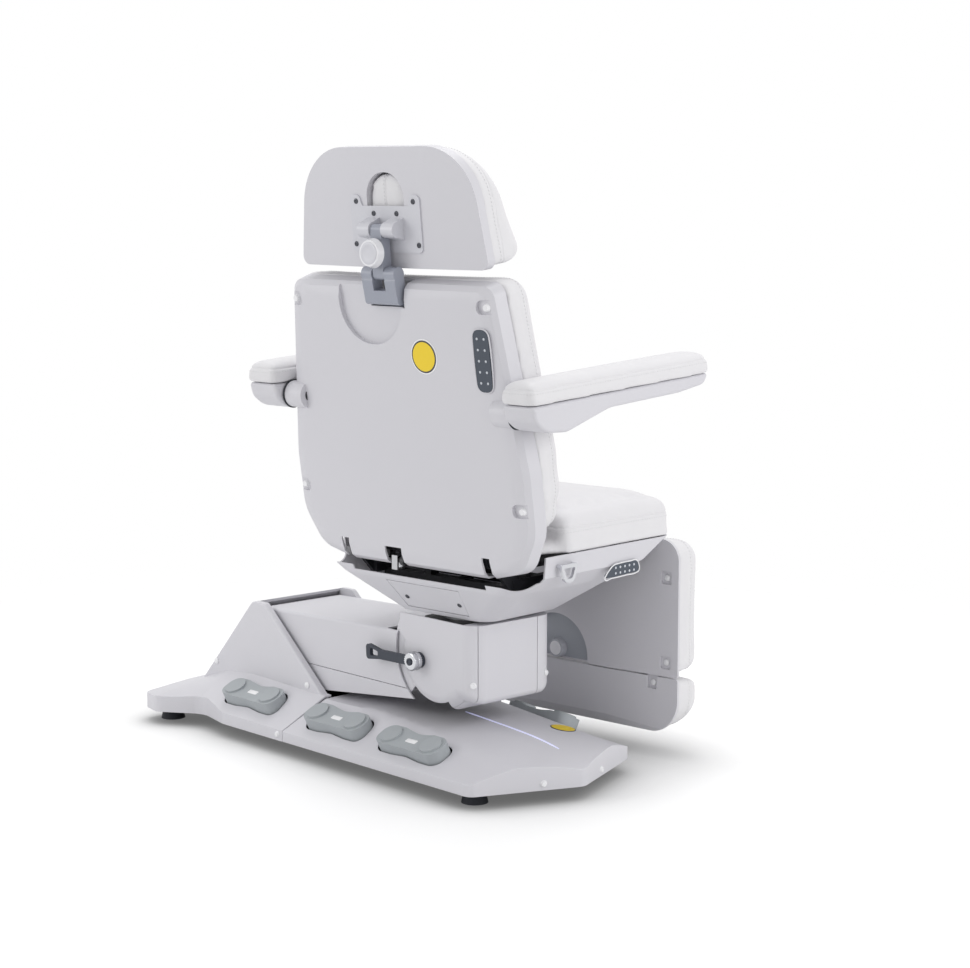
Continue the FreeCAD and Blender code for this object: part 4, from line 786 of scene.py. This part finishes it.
# Backrest
# A dished ABS shell leans on the recline hinge, with four domed caps in its screw recesses.
# The foam pad in front is covered in the same vinyl.
# A plain yellow disc in a white rim is stuck on the shell.
dress("backrest_shell", cover_abs, COVER_EDGE)
dress("back_caps", cap_abs, CAP_EDGE)
back_cover = vinyl_pad("backrest_cushion", "backrest", BACK_REST_WAY, 0.004, 0.016, (0.012, 0.016), 12)
sewn(back_cover, "backrest", on_back(0, 88, 760), BACK_REST_WAY)
finished(back_cover)
back_spot = [landed("backrest_shell", on_seat(-92, 600, 908), -REARWARD)]
RIM_FACE = [(36.0, -2.0), (36.0, 0.5), (35.4, 0.9), (1.0, 0.9)]
RING_FACE = [(33.2, 0.2), (33.2, 1.1), (32.8, 1.3), (1.0, 1.3)]
SPOT_FACE = [(30.0, 0.6), (30.0, 1.5), (29.6, 1.7), (1.0, 1.7)]
turned("back_disc_rim", "backrest", plate_abs, RIM_FACE, back_spot)
turned("back_disc_edge", "backrest", edge_vinyl, RING_FACE, back_spot)
turned("back_disc", "backrest", yellow_vinyl, SPOT_FACE, back_spot)

# Armrests
# A deep moulded shell turns on the axle in the backrest's side, with a foam pad in vinyl on its upper edge.
# A dark rubber washer runs round the axle between the armrest and the backrest.
WASHER = [(20.0, 0.0), (29.8, 0.1), (30.6, 0.8), (30.6, 2.2), (29.8, 3.0), (20.0, 3.2)]
ARM_PAD_UP = Vector((0, 0.0558, 0.9984))
ARM_SEAM_RISE = 0.011
for body, side in (("armrest_right", -1), ("armrest_left", 1)):
    dress(body + "_shell", cover_abs, COVER_EDGE)
    pad = vinyl_pad(body + "_pad", body, -ARM_PAD_UP, 0.004, 0.008, (0.002, 0.009), 4)
    pad_low, pad_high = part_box(body + "_pad")
    sewn(pad, body, (pad_low + pad_high) / 2 + ARM_PAD_UP * ARM_SEAM_RISE, ARM_PAD_UP, -0.007)
    finished(pad)
    turned(body + "_washer", body, foot_rubber, WASHER,
           [(on_seat(side * 317.6, 221.93, 806.76), Vector((side, 0, 0)))])

# Headrest mounting
# A painted steel stem slides out of the backrest; a link and clevis tilt the headrest plate.
# A white knob clamps them. Blue grey enamel on pressed steel is glossier than the powder coat.
hinge_enamel = powder_coat("enamelled_steel_blue_grey", "9CA0AC", 0.34)
plate_zinc = powder_coat("enamelled_steel_pale", "D2D2D8", 0.34)
dress("headrest_stem", hinge_enamel, 0.0012)
dress("headrest_link", hinge_enamel, 0.0012)
dress("headrest_plate", plate_zinc, 0.0008)
knob_abs = moulded_abs("gloss_abs_knob", "EDEDF0", 0.24, 0.0018)
dress("headrest_knob", knob_abs, 0.002)
KNOB_FACE = [(22.5, -1.0), (22.5, 0.6), (21.6, 1.4), (16.0, 1.6), (14.6, 0.8), (6.0, 0.8), (1.0, 0.9)]
turned("headrest_knob_face", "headrest_knob", plate_zinc, KNOB_FACE,
       [(on_seat(0, 310, 1112), REARWARD)])

# Headrest
# Moulded shell with an arched face opening, a wedge of foam in vinyl and a soft plug that lifts out.
# A thin lining closes the opening between shell and pad; six small screws hold the hinge plate.
FACET = 0.0004
HEAD_LEAN = Matrix.Rotation(math.radians(-6.0), 3, "X")


def on_head(x, y, z):
    """Point of the upright headrest in millimetres, leaned about the headrest pivot."""
    pivot = Vector((0, 279, 1158))
    return SWIVEL + (pivot + HEAD_LEAN @ (Vector((x, y, z)) - pivot)) / 1000


HEAD_REST_WAY = HEAD_LEAN @ REARWARD
dress("headrest_shell", cover_abs, COVER_EDGE, 32.0, FACET)
head_cover = vinyl_pad("headrest_cushion", "headrest", HEAD_REST_WAY, 0.005, 0.009)
sewn(head_cover, "headrest", on_head(0, 196, 1200), HEAD_REST_WAY)
finished(head_cover)
plug_cover = vinyl_pad("face_plug", "headrest", (0, 0, 0), 0.002, 0.004, (0.002, 0.0), 3)
sewn(plug_cover, "headrest", on_head(0, 200, 1200), (1, 0, 0), 0.006)
finished(plug_cover)
ARCH_SPRING = 1220
ARCH_SILL = 1200
ARCH_FLAT = 2
LINING = ((51.7, 253.0), (51.7, 230.6), (53.4, 230.6), (53.4, 253.0))
shape = bmesh.new()
rings = []
for reach, y in LINING:
    outline = [(-reach, ARCH_SILL - reach), (reach, ARCH_SILL - reach)]
    for middle, start in ((ARCH_FLAT, 0), (-ARCH_FLAT, 90)):
        for degrees in range(start, start + 91, 6):
            angle = math.radians(degrees)
            radius = reach - ARCH_FLAT
            outline.append((middle + radius * math.cos(angle), ARCH_SPRING + radius * math.sin(angle)))
    rings.append([shape.verts.new(on_head(x, y, z)) for x, z in outline])
skinned(shape, rings + rings[:1], False)
lining = made("face_opening_lining", "headrest", cover_abs, shape)
lining.modifiers.new("normals", "WEIGHTED_NORMAL").keep_sharp = False
plate_screws = []
for x, z in ((80, 1212), (88, 1126), (32, 1188)):
    plate_screws.append((on_head(x, 260, z), HEAD_REST_WAY))
    plate_screws.append((on_head(-x, 260, z), HEAD_REST_WAY))
turned("headrest_screws", "headrest", screw_steel, SCREW, plate_screws)

# Leg rest
# A faceted ABS tray is hinged under the seat's front edge, with capped screws in square recesses.
# A thick foam pad in vinyl is fixed on its front, and a dark grey plate in the recess of the lock paints the
# shade inside the recess.
LEG_CAP = [(7.4, -1.0), (7.4, 1.4), (6.6, 2.6), (4.4, 3.4), (0.6, 3.8)]
LEG_FLOOR = -341
LOCK_X = 52
LOCK_Z = 209
RECESS_FLOOR = -337.6
RECESS_RADIUS = 90
RECESS_SILL = 190
dress("legrest_shell", cover_abs, COVER_EDGE, 32.0, FACET)
leg_cover = vinyl_pad("legrest_cushion", "legrest", (0, 1, 0), 0.004, 0.012, (0.002, 0.008), 12)
sewn(leg_cover, "legrest", on_seat(0, -396, 330), (0, 1, 0))
finished(leg_cover)
# Painted shade: the dark grey plate on the recess floor stands in for the shade in the lock's recess.
recess_painted_shade = moulded_abs("painted_shade_abs_dark_grey", "A6AAB1", 0.5, 0.0014)
recess_rim = []
for i in range(41):
    angle = math.radians(-13 + 206 * i / 40)
    x = LOCK_X + RECESS_RADIUS * math.cos(angle)
    z = max(RECESS_SILL, LOCK_Z + RECESS_RADIUS * math.sin(angle))
    recess_rim.append(on_seat(x, RECESS_FLOOR, z))
plaque("lock_recess_shade_plate", "legrest", recess_painted_shade, recess_rim, REARWARD, 0.0008)
leg_caps = [(on_seat(x, LEG_FLOOR, z), REARWARD) for x in (-252, 252) for z in (404, 217)]
turned("legrest_caps", "legrest", cap_abs, LEG_CAP, leg_caps)

# Foot section
# A shallower tray on two rails slides out below the leg rest, with its own thin pad.
# A smoked acrylic knob in the leg rest's round recess locks it.
dress("footrest_shell", cover_abs, COVER_EDGE, 32.0, FACET)
foot_cover = vinyl_pad("footrest_cushion", "footrest", (0, 1, 0), 0.004, 0.01, (0.002, 0.007), 10)
sewn(foot_cover, "footrest", on_seat(0, -396, 120), (0, 1, 0))
finished(foot_cover)
foot_caps = [(on_seat(x, LEG_FLOOR, 168), REARWARD) for x in (-217, 217)]
turned("footrest_caps", "footrest", cap_abs, LEG_CAP, foot_caps)
lock_acrylic = moulded_abs("smoked_acrylic_grey", "B9BAC2", 0.2, 0.002)
dress("footrest_knob", lock_acrylic, 0.002)
LOCK_FACE = [(16.0, -1.0), (16.0, 0.5), (15.2, 1.2), (10.0, 1.2), (9.0, 0.3), (1.0, 0.3)]
turned("footrest_knob_face", "footrest_knob", knob_abs, LOCK_FACE,
       [(on_seat(LOCK_X, -323, LOCK_Z), REARWARD)])
